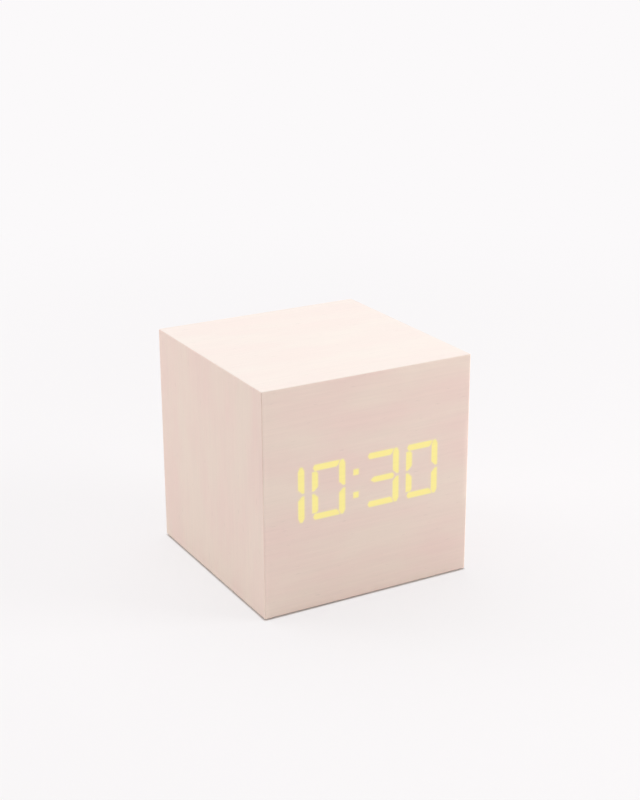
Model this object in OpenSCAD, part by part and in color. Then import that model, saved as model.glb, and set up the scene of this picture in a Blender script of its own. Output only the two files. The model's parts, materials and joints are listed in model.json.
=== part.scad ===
// Digital desk clock: a wood-finished block whose segment display shines through
// its front veneer, with buttons and a power socket at the back and a battery
// bay in the base. The front faces -Y, +Z is up and the base rests on z = 0.

/* [Case] */
// Width of the block
case_w = 60; // [54:0.5:80]
// Depth of the block
case_d = 60; // [54:0.5:80]
// Height of the block
case_h = 60; // [54:0.5:80]
// Thickness of the case boards
board_t = 4; // [3:0.1:4.1]
// Easing of the outer edges
edge_ease = 0.4; // [0.1:0.1:0.8]
// Thickness of the front veneer
veneer_t = 0.5; // [0.3:0.1:0.8]
// Thickness of the rear panel
rear_t = 3; // [2.5:0.1:3.5]
// Depth of the rear panel behind the rear edge
rear_recess = 1.5; // [1.4:0.1:2.5]
// Gap around the rear panel
panel_gap = 0.2; // [0.1:0.05:0.4]
// Side of the corner blocks
block_side = 6.5; // [6:0.1:7]
// Length of the corner blocks
block_len = 8; // [7.5:0.1:9]

/* [Time shown] */
// Tens of hours, 0 leaves the half digit dark
hour_tens = 1; // [0:1:1]
// Units of hours
hour_units = 0; // [0:1:9]
// Tens of minutes
minute_tens = 3; // [0:1:5]
// Units of minutes
minute_units = 0; // [0:1:9]

/* [Digits] */
// Height of a digit
digit_h = 14.7; // [12:0.1:16]
// Width of a digit
digit_w = 9.5; // [8:0.1:10.5]
// Width of an upright segment
stroke = 1.8; // [1.7:0.1:2.3]
// Height of a level segment
bar_stroke = 1.65; // [1.5:0.05:2.1]
// Gap between neighbouring segments
segment_gap = 0.2; // [0.15:0.05:0.5]
// Gap at the waist of a digit
waist_gap = 0.7; // [0.5:0.05:0.9]
// Length of the middle segment's pointed end
nose = 1.1; // [0.7:0.1:1.3]
// Cut at a segment's blunt corners
corner_cut = 0.5; // [0.3:0.05:0.7]
// Gap between neighbouring digits
digit_gap = 2.1; // [1.6:0.1:2.6]
// Extra room between hours and minutes
colon_room = 4.1; // [3:0.1:5]
// Side of a colon dot
dot_size = 1.7; // [1.7:0.1:2.4]
// Distance between the colon dots
dot_spread = 6.2; // [4:0.1:8]
// Height of the middle of the digits
display_z = 31.4; // [30.5:0.1:34]

/* [Display module] */
// Thickness of the diffuser film
film_t = 0.3; // [0.2:0.05:0.5]
// Thickness of the segment reflector
reflector_t = 5.5; // [4.5:0.1:6.5]
// Size of a cell at its LED against its front
cell_taper = 0.8; // [0.75:0.01:1]
// Edge of the reflector around the digits
frame_margin = 2.2; // [1.8:0.1:2.6]
// Radius of the screw bosses
boss_r = 2.4; // [2:0.1:2.6]
// Thickness of the circuit boards
pcb_t = 1.6; // [1:0.1:1.6]
// Edge of the display board around the reflector
board_edge = 0.4; // [0.2:0.1:1]
// Length of an LED
led_l = 1.6; // [1:0.1:1.7]
// Width of an LED
led_w = 0.8; // [0.5:0.1:1]
// Height of an LED
led_h = 0.7; // [0.4:0.1:0.9]

/* [Main board] */
// Gap between the main board and the side boards
main_side_gap = 3; // [2:0.1:4]
// Gap between the main board and the upper corner blocks
block_clear = 1.5; // [0.5:0.1:2]
// Room for the leads between the tray and the main board
lead_room = 4.4; // [3.5:0.1:5]
// Space between the main board and the rear panel
board_gap = 6.9; // [6.6:0.1:8]
// Distance of the stand-offs from the board's edges
post_inset = 3; // [2.5:0.1:3.5]
// Radius of a stand-off
post_r = 2.2; // [2:0.1:2.4]

/* [Buttons] */
// Radius of a button
button_r = 2.3; // [1.8:0.1:2.5]
// Distance between neighbouring buttons
button_pitch = 11; // [9:0.5:12]
// Distance of the buttons from the top of the main board
button_drop = 6; // [5:0.1:6.5]
// How far a button stands out of the rear panel
button_proud = 1.2; // [0.6:0.1:1.3]
// Travel of a button
button_travel = 0.4; // [0.2:0.05:0.4]
// Gap between a button and its hole
button_gap = 0.25; // [0.15:0.05:0.4]
// Radius of the flange that keeps a button in
flange_r = 3.2; // [3:0.1:3.6]
// Side of a switch body
switch_side = 6; // [5:0.1:6.2]
// Height of a switch body
switch_body_h = 3.5; // [3:0.1:3.8]
// Height of a switch with its plunger
switch_h = 5; // [4.6:0.1:5.2]
// Radius of a switch plunger
plunger_r = 1.75; // [1.4:0.05:2]

/* [Power socket] */
// Width of the socket shell
usb_w = 7.9; // [7.5:0.1:8.2]
// Height of the socket shell
usb_h = 2.9; // [2.7:0.1:3.2]
// Wall of the socket shell
usb_wall = 0.35; // [0.25:0.05:0.45]
// Distance from the socket mouth to the rear panel
usb_setback = 0.6; // [0.4:0.1:1]
// Width of the way for the plug
plug_w = 12.4; // [11.5:0.1:13]
// Height of the way for the plug
plug_h = 9; // [8.5:0.1:10]

/* [Battery bay] */
// Radius of a cell
cell_r = 5.25; // [5:0.05:5.25]
// Least space between neighbouring cells
cell_space = 0.5; // [0.4:0.05:0.7]
// Gap between a cell and the tray
cell_gap = 0.3; // [0.2:0.05:0.4]
// Length of a fitted spring
spring_len = 3.2; // [2.8:0.1:3.4]
// Radius of the spring wire
spring_wire_r = 0.25; // [0.2:0.01:0.3]
// Height of the bump that meets a cell's nub
bump_h = 0.5; // [0.3:0.1:0.6]
// Thickness of the end contacts
plate_t = 0.4; // [0.3:0.05:0.5]
// Gap between the tray and the side boards
tray_side_gap = 0.3; // [0.2:0.05:0.5]
// Wall of the tray
tray_wall = 1.2; // [1:0.1:1.3]
// Thickness of the door
door_t = 1.6; // [1.4:0.1:2]
// Gap around the door
door_gap = 0.3; // [0.2:0.05:0.4]
// Height of the door's outer face above the base
door_sink = 0.5; // [0.4:0.1:0.8]
// Radius of a hinge pin
pin_r = 0.55; // [0.45:0.05:0.6]
// Gap between a hinge pin and its lug
pin_gap = 0.07; // [0.04:0.01:0.1]
// Distance of the hinge lugs from the middle
lug_x = 16; // [10:0.5:18]
// Width of a hinge lug
lug_w = 3; // [2.5:0.1:4]

/* [Hidden] */
$fn = 64;
over = 0.1;
side_x = case_w / 2 - board_t;
floor_z = board_t;
ceil_z = case_h - board_t;
front_y = -case_d / 2;
front_in = front_y + board_t;
rear_out = case_d / 2 - rear_recess;
rear_in = rear_out - rear_t;
corner_x = side_x - block_side / 2;
corner_z = (ceil_z - floor_z - block_side) / 2;

// Digits: left edges of the four places, the first of which has only its right strokes
pitch = digit_w + digit_gap;
display_w = 3 * pitch + colon_room + stroke;
digit_x = [for (back = [3 * pitch + colon_room, 2 * pitch + colon_room, pitch, 0])
    display_w / 2 - digit_w - back];
colon_x = (digit_x[1] + digit_w + digit_x[2]) / 2;
digits = [hour_tens, hour_units, minute_tens, minute_units];
segment_names = "abcdefg";
lit_names = ["abcdef", "bc", "abged", "abgcd", "fgbc", "afgcd", "afgedc", "abc", "abcdefg", "abcdfg"];

// Display stack, front to back
reflector_y = front_in + film_t;
display_y = reflector_y + reflector_t;
display_back = display_y + pcb_t;
reflector_w = display_w + 2 * frame_margin;
reflector_h = digit_h + 2 * frame_margin;
boss_sink = 0.6;
boss_x = reflector_w / 2 - boss_r;
boss_z = reflector_h / 2 + boss_r - boss_sink;
display_board_w = reflector_w + 2 * board_edge;
display_board_h = 2 * (boss_z + boss_r + board_edge);

// Screws: shank radius, head radius, head height, and the gap in a hole
screw_r = 1;
head_r = 1.9;
head_h = 1.2;
screw_gap = 0.05;
pass_gap = 0.15;
bite = 2.3;
rear_bite = 5.5;
post_bite = 4.5;
bore_room = 0.2;

// Battery bay: the tray fills the room between the side boards, from the front
// board to the corner blocks. A 60 mm case leaves 44.5 mm, the length of an AAA cell.
ear_x = 12;
ear_r = 2;
ear_t = 1.6;
ear_out = 2.2;
ear_gap = 2.7;
block_gap = 0.5;
tray_front = front_in + ear_gap + ear_r + ear_out;
tray_rear = rear_in - block_len - block_gap;
tray_x = 2 * (side_x - tray_side_gap);
tray_y = tray_rear - tray_front;
bay_y = (tray_front + tray_rear) / 2;
tray_in_x = tray_x - 2 * tray_wall;
tray_in_y = tray_y - 2 * tray_wall;
cell_len = tray_in_x - spring_len - bump_h - 2 * plate_t;
cell_run = tray_in_y - 2 * cell_gap - 2 * cell_r;
cell_count = 1 + floor(cell_run / (2 * cell_r + cell_space));
cell_pitch = cell_run / (cell_count - 1);
cell_y = [for (i = [0:cell_count - 1]) bay_y - cell_run / 2 + i * cell_pitch];
last_end = cell_count % 2 == 0 ? 1 : -1;
cell_clear = 0.5;
cell_z = door_sink + door_t + cell_clear + cell_r;
tray_ceil = cell_z + cell_r + cell_gap;
tray_top = tray_ceil + tray_wall;
bay_end_gap = 1;
bay_x = cell_len + 2 * bay_end_gap;
wall_foot = 0.4;
wall_gap = 0.15;
rib_t = 0.7;
rib_h = 2.4;
rib_end = 2;
plate_half = 4.6;
plate_gap = 0.2;
plate_foot = floor_z + plate_gap;
plate_head = tray_ceil - plate_gap;
bump_r = 2.2;
nub_r = 1.9;
nub_h = 0.8;
tab_w = 2.4;
tab_rise = 2.6;
tab_gap = 0.1;
tray_head_r = 1.7;
lug_wall = 0.2;
lug_r = door_t / 2 + lug_wall;
lug_back = 0.3;
hinge_y = bay_y - tray_in_y / 2 + lug_r + lug_back;
hinge_z = door_sink + door_t / 2;
door_rear = bay_y + tray_in_y / 2 - door_gap;
latch_half = 5;
latch_len = 8;
latch_slit = 0.6;
latch_top = 4.2;
latch_gap = 0.4;

// Main board and what it carries
main_rear = rear_in - board_gap;
main_front = main_rear - pcb_t;
main_top = ceil_z - block_side - block_clear;
main_foot = tray_top + lead_room;
main_h = main_top - main_foot;
main_z = (main_top + main_foot) / 2;
main_w = 2 * (side_x - main_side_gap);
post_x = main_w / 2 - post_inset;
post_z = main_h / 2 - post_inset;
spigot_r = 1.4;
spigot_len = 1.5;
button_z = main_top - button_drop;
button_x = [button_pitch, 0, -button_pitch];
flange_gap = 0.3;
plunger_y = main_rear + switch_h;
plunger_sunk = 0.9;
plunger_gap = 0.1;
usb_rise = 6;
usb_z = main_foot + usb_rise;
usb_mouth = rear_in - usb_setback;
usb_back_t = 0.8;
plug_round = 2;
tongue_t = 0.6;
tongue_in = 0.6;
tongue_side = 2;
tongue_rise = 0.3;
sound_inset = 10;
sound_x = main_w / 2 - sound_inset;
sound_rise = 9.4;
sound_z = main_foot + sound_rise;
sound_ring = 2.4;
buzzer_r = 4.5;
buzzer_h = 5;
mic_r = 3;
mic_h = 2.7;
bead_r = 1.1;
bead_out = 3.4;
bead_y = main_rear + bead_out;
bead_rise = 3;
bead_z = main_foot + bead_rise;
bead_wire_r = 0.25;
vent_r = 0.6;
vent_step = 2.4;
coin_r = 10;
coin_h = 3.2;
coin_drop = 1;
coin_z = main_z - coin_drop;
coin_floor = 0.8;
coin_wall = 1;
coin_gap = 0.2;
coin_lip = 0.6;
coin_step = 1.2;
coin_rim = 0.5;
cup_r = coin_r + coin_gap + coin_wall;
beside_coin = 5.8;
chip_x = -cup_r - beside_coin;
chip_len = 10;
chip_w = 4;
chip_pins = 7;
driver_x = -6;
crystal_r = 1;
crystal_len = 6;
crystal_shift = 4;
crystal_rise = 7.8;
ribbon_x = cup_r + beside_coin;
ribbon_drop = 0.5;
ribbon_z = main_z - ribbon_drop;
ribbon_w = 12;
ribbon_t = 0.3;
ribbon_in = 2;
ribbon_bulge = 6;
ribbon_steps = 24;
socket_size = [4, 4.5, 14];

// Leads: soldered to the terminal tabs, lying over the tray and ending at the main board
lead_r = 0.65;
lead_x = 14;
lead_rise = 1.8;
lead_z = main_foot + lead_rise;
lead_gap = 0.2;
lead_joint = 1.6;
lead_lean = 2;
lead_lie = 1;
red_run = 10;
red_reach = 9;
black_run = 3;
black_reach = 5;
lead_steps = 20;
lead_side = [0.2, 0, 1];
wire_sides = 8;

// Shared shapes

// A shape drawn in X and Z, made solid from y0 to y1
module slab(y0, y1) {
    translate([0, y1, 0]) rotate([90, 0, 0]) linear_extrude(y1 - y0) children();
}

// A cylinder along Y from y0 to y1
module rod(y0, y1, r) {
    translate([0, y1, 0]) rotate([90, 0, 0]) cylinder(r = r, h = y1 - y0);
}

// A cylinder along X from x0 to x1
module bar(x0, x1, r) {
    translate([x0, 0, 0]) rotate([0, 90, 0]) cylinder(r = r, h = x1 - x0);
}

// A box centred in X and Z, from y0 to y1
module block(w, y0, y1, h) {
    translate([-w / 2, y0, -h / 2]) cube([w, y1 - y0, h]);
}

module rounded(w, h, r) {
    square([w - 2 * r, h], center = true);
    square([w, h - 2 * r], center = true);
    for (x = [-1, 1], z = [-1, 1]) translate([x * (w / 2 - r), z * (h / 2 - r)]) circle(r);
}

module four(x, z) {
    for (i = [-1, 1], k = [-1, 1]) translate([i * x, 0, k * z]) children();
}

// A pan-head screw along -Y with its head's inner face at y = 0
module screw(len, r = screw_r, head = head_r) {
    slot_w = 0.5;
    slot_end = 0.6;
    rod(-len, 0, r);
    difference() {
        rod(0, head_h, head);
        for (turn = [0, 90]) rotate([0, turn, 0])
            block(2 * (head - slot_end), head_h / 2, head_h + over, slot_w);
    }
}

function unit(v) = v / norm(v);
function along(path, i) = unit(path[min(i + 1, len(path) - 1)] - path[max(i - 1, 0)]);
function ring(centre, dir, side, r, n) =
    let (u = unit(cross(dir, side)), v = cross(dir, u))
    [for (k = [0:n - 1]) centre + r * (cos(360 * k / n) * u + sin(360 * k / n) * v)];

// A round tube along a path, with n flat sides
module tube(path, r, n, side) {
    last = len(path) - 1;
    points = [for (i = [0:last]) each ring(path[i], along(path, i), side, r, n)];
    walls = [for (i = [0:last - 1], k = [0:n - 1])
        let (a = i * n + k, b = i * n + (k + 1) % n)
        each [[a, a + n, b + n], [a, b + n, b]]];
    start = [for (k = [1:n - 2]) [0, k, k + 1]];
    end = [for (k = [1:n - 2]) [last * n, last * n + k + 1, last * n + k]];
    polyhedron(points, concat(walls, start, end));
}

function bezier(p, t) = pow(1 - t, 3) * p[0] + 3 * t * pow(1 - t, 2) * p[1]
    + 3 * t * t * (1 - t) * p[2] + pow(t, 3) * p[3];

// Digits

// Outlines of the segments. The top and bottom bars take the left corners of a
// digit and the right-hand bars take its right corners, so the bars on the left are short.
function flip(points) = [for (p = points) [p[0], digit_h - p[1]]];
mid_z = digit_h / 2;
waist = mid_z + waist_gap / 2;
inner_x = digit_w - stroke;
waist_flat = 0.7;
waist_cut = stroke - waist_flat;
shoulder = 1.2;
tip_in = 0.25;
tip_g = 1.05;
blunt = 0.5;
bar_a = [
    [tip_in, digit_h - bar_stroke / 2], [tip_in + blunt, digit_h],
    [inner_x - segment_gap + corner_cut, digit_h], [inner_x - segment_gap, digit_h - shoulder],
    [inner_x - segment_gap - corner_cut, digit_h - bar_stroke], [tip_in + blunt, digit_h - bar_stroke]];
bar_b = [
    [inner_x, digit_h - shoulder], [inner_x + corner_cut, digit_h],
    [digit_w - corner_cut, digit_h], [digit_w, digit_h - 2 * corner_cut], [digit_w, waist],
    [inner_x + waist_cut, waist], [inner_x, waist + waist_cut]];
left_end = digit_h - bar_stroke - segment_gap;
bar_f = [
    [0, left_end], [stroke - corner_cut, left_end], [stroke, left_end - corner_cut],
    [stroke, waist + waist_cut], [stroke - waist_cut, waist], [0, waist]];
bar_g = [
    [tip_g, mid_z], [tip_g + nose, mid_z + bar_stroke / 2], [inner_x, mid_z + bar_stroke / 2],
    [inner_x + blunt, mid_z], [inner_x, mid_z - bar_stroke / 2], [tip_g + nose, mid_z - bar_stroke / 2]];
outlines = [bar_a, bar_b, flip(bar_b), flip(bar_a), flip(bar_f), bar_f, bar_g];

function mean(points) = [for (axis = [0, 1])
    [for (p = points) p[axis]] * [for (p = points) 1] / len(points)];
function has(place, k) = place > 0 || k == 1 || k == 2;
function upright(k) = k == 1 || k == 2 || k == 4 || k == 5;
function shown(place, k) = has(place, k) && (place > 0 || digits[0] == 1)
    && len(search(segment_names[k], lit_names[digits[place]])) > 0;
places = [for (place = [0:3], k = [0:6]) if (has(place, k)) [place, k]];
lit_places = [for (p = places) if (shown(p[0], p[1])) p];
dots = [for (side = [-1, 1]) [colon_x, display_z + side * dot_spread / 2]];

module segment(p) {
    translate([digit_x[p[0]], display_z - mid_z]) polygon(outlines[p[1]]);
}

module colon() {
    for (d = dots) translate(d) square(dot_size, center = true);
}

// The lit segments and the colon, made solid through a thickness
module lit_shapes(y0, y1) {
    for (p = lit_places) slab(y0, y1) segment(p);
    for (d = dots) slab(y0, y1) translate(d) square(dot_size, center = true);
}

// Case

// A board lying on its outer face, mitred along its sides and its front end
module mitred_board(span) {
    ease = edge_ease;
    half = span / 2;
    intersection() {
        translate([0, case_d / 2, 0]) rotate([90, 0, 0]) linear_extrude(case_d)
            polygon([[-half + ease, 0], [half - ease, 0], [half - ease / 2, ease / 2],
                [half - board_t, board_t], [-half + board_t, board_t], [-half + ease / 2, ease / 2]]);
        translate([-half, 0, 0]) rotate([90, 0, 90]) linear_extrude(span)
            polygon([[front_y + ease, 0], [case_d / 2 - ease, 0], [case_d / 2, ease], [case_d / 2, board_t],
                [front_in, board_t], [front_y + ease / 2, ease / 2]]);
    }
}

// The front leaf: full size on its outer face and mitred to the inside of the boards
module front_leaf(y0, y1) {
    ease = edge_ease;
    half = case_w / 2;
    intersection() {
        linear_extrude(case_h)
            polygon([[-half + ease, front_y], [half - ease, front_y], [half - ease / 2, front_y + ease / 2],
                [half - board_t, front_in], [-half + board_t, front_in],
                [-half + ease / 2, front_y + ease / 2]]);
        translate([-half, 0, 0]) rotate([90, 0, 90]) linear_extrude(case_w)
            polygon([[front_y, ease], [front_y + ease / 2, ease / 2], [front_in, board_t],
                [front_in, ceil_z], [front_y + ease / 2, case_h - ease / 2], [front_y, case_h - ease]]);
        translate([-half, y0, 0]) cube([case_w, y1 - y0, case_h]);
    }
}

module front_veneer() {
    color("#ead3c6") difference() {
        front_leaf(front_y, front_y + veneer_t);
        lit_shapes(front_y - over, front_y + veneer_t + over);
    }
}

module lit_segments() {
    color("#fff08a") lit_shapes(front_y, front_y + veneer_t);
}

module front_board() {
    color("#c9a987") difference() {
        front_leaf(front_y + veneer_t, front_in);
        for (p = places) slab(front_y, front_in + over) segment(p);
        slab(front_y, front_in + over) colon();
        translate([0, 0, display_z]) four(boss_x, boss_z)
            rod(front_in - bite - bore_room, front_in + over, screw_r + screw_gap);
    }
}

module top_board() {
    color("#f6e7de") translate([0, 0, case_h]) rotate([0, 180, 0]) mitred_board(case_w);
}

module left_board() {
    color("#ecd9cd") translate([-case_w / 2, 0, case_h / 2]) rotate([0, 90, 0]) mitred_board(case_h);
}

module right_board() {
    color("#ecd9cd") translate([case_w / 2, 0, case_h / 2]) rotate([0, -90, 0]) mitred_board(case_h);
}

module base_board() {
    color("#ecd9cd") difference() {
        mitred_board(case_w);
        translate([-bay_x / 2, bay_y - tray_y / 2 - wall_gap, -over])
            cube([bay_x, tray_y + 2 * wall_gap, board_t + 2 * over]);
        for (x = [-ear_x, ear_x], y = [-1, 1])
            translate([x, bay_y + y * (tray_y / 2 + ear_out), floor_z - bite - bore_room])
                cylinder(r = screw_r + screw_gap, h = bite + bore_room + over);
    }
}

module rear_panel() {
    w = 2 * (side_x - panel_gap);
    h = ceil_z - floor_z - 2 * panel_gap;
    color("#ecd9cd") difference() {
        translate([0, 0, case_h / 2]) block(w, rear_in, rear_out, h);
        for (x = button_x) translate([x, 0, button_z])
            rod(rear_in - over, rear_out + over, button_r + button_gap);
        slab(rear_in - over, rear_out + over) translate([0, usb_z]) rounded(plug_w, plug_h, plug_round);
        translate([-sound_x, 0, sound_z]) {
            rod(rear_in - over, rear_out + over, vent_r);
            for (turn = [0:60:300]) rotate([0, turn, 0]) translate([sound_ring, 0, 0])
                rod(rear_in - over, rear_out + over, vent_r);
        }
        translate([sound_x, 0, sound_z]) rod(rear_in - over, rear_out + over, vent_r);
        for (i = [-1:1]) translate([sound_x + i * vent_step, 0, bead_z])
            rod(rear_in - over, rear_out + over, vent_r);
        translate([0, 0, case_h / 2]) four(corner_x, corner_z)
            rod(rear_in - over, rear_out + over, screw_r + pass_gap);
        translate([0, 0, main_z]) four(post_x, post_z)
            rod(rear_in - over, rear_in + spigot_len + bore_room, spigot_r + screw_gap);
    }
}

module corner_blocks() {
    color("#b98f66") translate([0, 0, case_h / 2])
        four(corner_x, corner_z) difference() {
            block(block_side, rear_in - block_len, rear_in, block_side);
            rod(rear_in - rear_bite - bore_room, rear_in + over, screw_r + screw_gap);
        }
}

module rear_screws() {
    color("#3a3a3c") translate([0, rear_out, case_h / 2])
        four(corner_x, corner_z) screw(rear_t + rear_bite);
}

// Display

module diffuser_film() {
    color("#f4f4f0") translate([0, 0, display_z]) block(reflector_w, front_in, reflector_y, reflector_h);
}

// One cell: the segment at the front, drawn in towards its LED
module light_cell(p) {
    c = mean(outlines[p[1]]);
    translate([digit_x[p[0]] + c[0], reflector_y, display_z - mid_z + c[1]]) rotate([-90, 0, 0])
        linear_extrude(reflector_t, scale = cell_taper) translate([-c[0], c[1]]) mirror([0, 1])
            polygon(outlines[p[1]]);
}

module segment_reflector() {
    color("#f2f2ee") difference() {
        union() {
            translate([0, 0, display_z]) block(reflector_w, reflector_y, display_y, reflector_h);
            translate([0, 0, display_z]) four(boss_x, boss_z) rod(front_in, display_y, boss_r);
            // Feet of the bosses, clear of the film
            translate([0, 0, display_z]) four(boss_x, boss_z - boss_r / 2)
                block(2 * boss_r, reflector_y, display_y, boss_r);
        }
        for (p = places) light_cell(p);
        slab(reflector_y - over, display_y + over) colon();
        translate([0, 0, display_z]) four(boss_x, boss_z)
            rod(front_in - over, display_y + over, screw_r + pass_gap);
        // The film's own room behind the front board
        translate([0, 0, display_z]) block(reflector_w + over, front_in - over, reflector_y, reflector_h);
    }
}

module display_board() {
    color("#2f6b45") translate([0, 0, display_z]) difference() {
        block(display_board_w, display_y, display_back, display_board_h);
        four(boss_x, boss_z) rod(display_y - over, display_back + over, screw_r + pass_gap);
    }
}

module led() {
    block(led_l, -led_h, 0, led_w);
}

module segment_leds() {
    color("#f7e27a") {
        for (p = places) let (c = mean(outlines[p[1]]))
            translate([digit_x[p[0]] + c[0], display_y, display_z - mid_z + c[1]])
                rotate([0, upright(p[1]) ? 90 : 0, 0]) led();
        for (d = dots) translate([d[0], display_y, d[1]]) led();
    }
}

// A flat chip on a face at y = 0, standing out towards +Y, with legs on both long sides
module chip() {
    body_h = 1.5;
    mark_r = 0.5;
    mark_in = 1.2;
    leg_t = 0.2;
    leg_w = 0.4;
    leg_out = 1;
    step = 1.27;
    difference() {
        block(chip_w, leg_t, body_h, chip_len);
        translate([-chip_w / 4, body_h, chip_len / 2 - mark_in]) rod(-leg_t, over, mark_r);
    }
    for (i = [0:chip_pins - 1], side = [-1, 1])
        translate([side * (chip_w + leg_out - leg_t) / 2, 0, (i - (chip_pins - 1) / 2) * step]) {
            block(leg_out + leg_t, 0, leg_t, leg_w);
            translate([-side * leg_out / 4, 0, 0]) block(leg_out / 2 + leg_t, 0, body_h / 2, leg_w);
        }
}

module driver_chip() {
    color("#26272a") translate([driver_x, display_back, display_z]) rotate([0, 90, 0]) chip();
}

module display_screws() {
    color("#9a9da1") translate([0, display_back, display_z]) four(boss_x, boss_z)
        screw(display_back - front_in + bite);
}

// Control

module main_board() {
    color("#2f6b45") translate([0, 0, main_z]) difference() {
        block(main_w, main_front, main_rear, main_h);
        four(post_x, post_z) rod(main_front - over, main_rear + over, screw_r + pass_gap);
    }
}

module stand_offs() {
    color("#e9e4d6") translate([0, 0, main_z]) four(post_x, post_z) difference() {
        union() {
            rod(main_rear, rear_in, post_r);
            rod(rear_in - over, rear_in + spigot_len, spigot_r);
        }
        rod(main_rear - over, main_rear + post_bite + bore_room, screw_r + screw_gap);
    }
}

module board_screws() {
    color("#9a9da1") translate([0, main_front, main_z]) four(post_x, post_z)
        mirror([0, 1, 0]) screw(pcb_t + post_bite);
}

module switch_bodies() {
    flat = 1.2;
    flat_depth = 0.4;
    color("#2b2c2f") for (x = button_x) translate([x, 0, button_z]) difference() {
        block(switch_side, main_rear, main_rear + switch_body_h, switch_side);
        rod(main_rear + switch_body_h - plunger_sunk - button_travel - plunger_gap,
            main_rear + switch_body_h + over, plunger_r + plunger_gap);
        // Corner rivets' flats
        four(switch_side / 2, switch_side / 2)
            block(flat, main_rear + switch_body_h - flat_depth, main_rear + switch_body_h + over, flat);
    }
}

module plunger(x) {
    color("#1f2022") translate([x, 0, button_z])
        rod(main_rear + switch_body_h - plunger_sunk, plunger_y, plunger_r);
}

module set_plunger() plunger(button_x[0]);
module up_plunger() plunger(button_x[1]);
module down_plunger() plunger(button_x[2]);

// A button: a flange behind the panel, and a stem with an eased end
module button(x) {
    tip = rear_out + button_proud;
    shoulder = rear_in - flange_gap;
    ease = 0.4;
    color("#1d1e20") translate([x, plunger_y, button_z]) rotate([-90, 0, 0]) rotate_extrude()
        polygon([[0, 0], [flange_r, 0], [flange_r, shoulder - plunger_y], [button_r, shoulder - plunger_y],
            [button_r, tip - plunger_y - ease], [button_r - ease, tip - plunger_y],
            [button_r - 2 * ease, tip - plunger_y], [0, tip - plunger_y - ease / 2]]);
}

module set_button() button(button_x[0]);
module up_button() button(button_x[1]);
module down_button() button(button_x[2]);

// Section of the socket, drawn in by a wall thickness
function usb_section(inset) = let (w = usb_w / 2 - inset, h = usb_h / 2 - inset)
    [[-w, h], [w, h], [w, 0], [w - h, -h], [h - w, -h], [-w, 0]];

module usb_shell() {
    color("#b9bcc0") difference() {
        slab(main_rear, usb_mouth) translate([0, usb_z]) polygon(usb_section(0));
        slab(main_rear + usb_back_t, usb_mouth + over) translate([0, usb_z]) polygon(usb_section(usb_wall));
    }
}

module usb_tongue() {
    color("#1f2022") translate([0, 0, usb_z + tongue_rise])
        block(usb_w - 2 * tongue_side, main_rear + usb_back_t, usb_mouth - tongue_in, tongue_t);
}

module buzzer() {
    hole_r = 0.9;
    hole_depth = 1.5;
    color("#222326") translate([-sound_x, 0, sound_z]) difference() {
        rod(main_rear, main_rear + buzzer_h, buzzer_r);
        rod(main_rear + buzzer_h - hole_depth, main_rear + buzzer_h + over, hole_r);
    }
}

module microphone() {
    rim = 0.6;
    rim_h = 0.2;
    color("#b4b6b8") translate([sound_x, 0, sound_z]) difference() {
        rod(main_rear, main_rear + mic_h, mic_r);
        rod(main_rear + mic_h - rim_h, main_rear + mic_h + over, mic_r - rim);
    }
}

module thermistor() {
    color("#8a5a3c") translate([sound_x, 0, bead_z]) {
        translate([0, bead_y, 0]) sphere(bead_r);
        for (side = [-1, 1]) translate([side * bead_r / 2, 0, 0]) rod(main_rear, bead_y, bead_wire_r);
    }
}

module clock_chip() {
    color("#26272a") translate([chip_x, main_front, main_z]) mirror([0, 1, 0]) chip();
}

// The crystal lies on the board with its two leads bent back into it
module crystal() {
    wire_r = 0.2;
    wire_z = 0.4;
    wire_out = 0.8;
    end = crystal_len / 2;
    color("#c4c7ca") translate([chip_x + crystal_shift, main_front - crystal_r, main_z + crystal_rise]) {
        bar(-end, end, crystal_r);
        for (side = [-1, 1]) translate([end + wire_out, 0, side * wire_z]) {
            bar(-wire_out - wire_r, wire_r, wire_r);
            rod(-wire_r, crystal_r, wire_r);
        }
    }
}

module coin_holder() {
    mouth_w = 8;
    mouth_h = 6;
    lip_w = 3;
    lip_in = 1.2;
    lip_len = coin_gap + coin_wall + lip_in - over;
    face_y = main_front - coin_floor - coin_h;
    color("#2a2b2e") translate([0, 0, coin_z]) {
        difference() {
            rod(face_y - coin_lip, main_front, cup_r);
            rod(face_y - coin_lip - over, main_front - coin_floor, coin_r + coin_gap);
            // Opening that lets the cell out
            translate([0, 0, cup_r])
                block(mouth_w, face_y - coin_lip - over, main_front - coin_floor, mouth_h);
        }
        // Lips that keep the cell in
        for (turn = [90, 210, 330]) rotate([0, turn, 0])
            translate([coin_r - lip_in + lip_len / 2, 0, 0]) block(lip_len, face_y - coin_lip, face_y, lip_w);
    }
}

module coin_cell() {
    color("#c9ccd0") translate([0, 0, coin_z]) {
        rod(main_front - coin_floor - coin_h, main_front - coin_floor - coin_rim, coin_r);
        rod(main_front - coin_floor - coin_rim - over, main_front - coin_floor, coin_r - coin_step);
    }
}

// A socket with its mouth towards +Y and its back at y = 0
module socket() {
    slot_gap = 0.1;
    difference() {
        block(socket_size[0], 0, socket_size[1], socket_size[2]);
        block(ribbon_t + 2 * slot_gap, socket_size[1] - ribbon_in - slot_gap, socket_size[1] + over,
            ribbon_w + 4 * slot_gap);
    }
}

module ribbon_sockets() {
    color("#efece2") {
        translate([ribbon_x, display_back, ribbon_z]) socket();
        translate([ribbon_x, main_front, ribbon_z]) mirror([0, 1, 0]) socket();
    }
}

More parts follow.
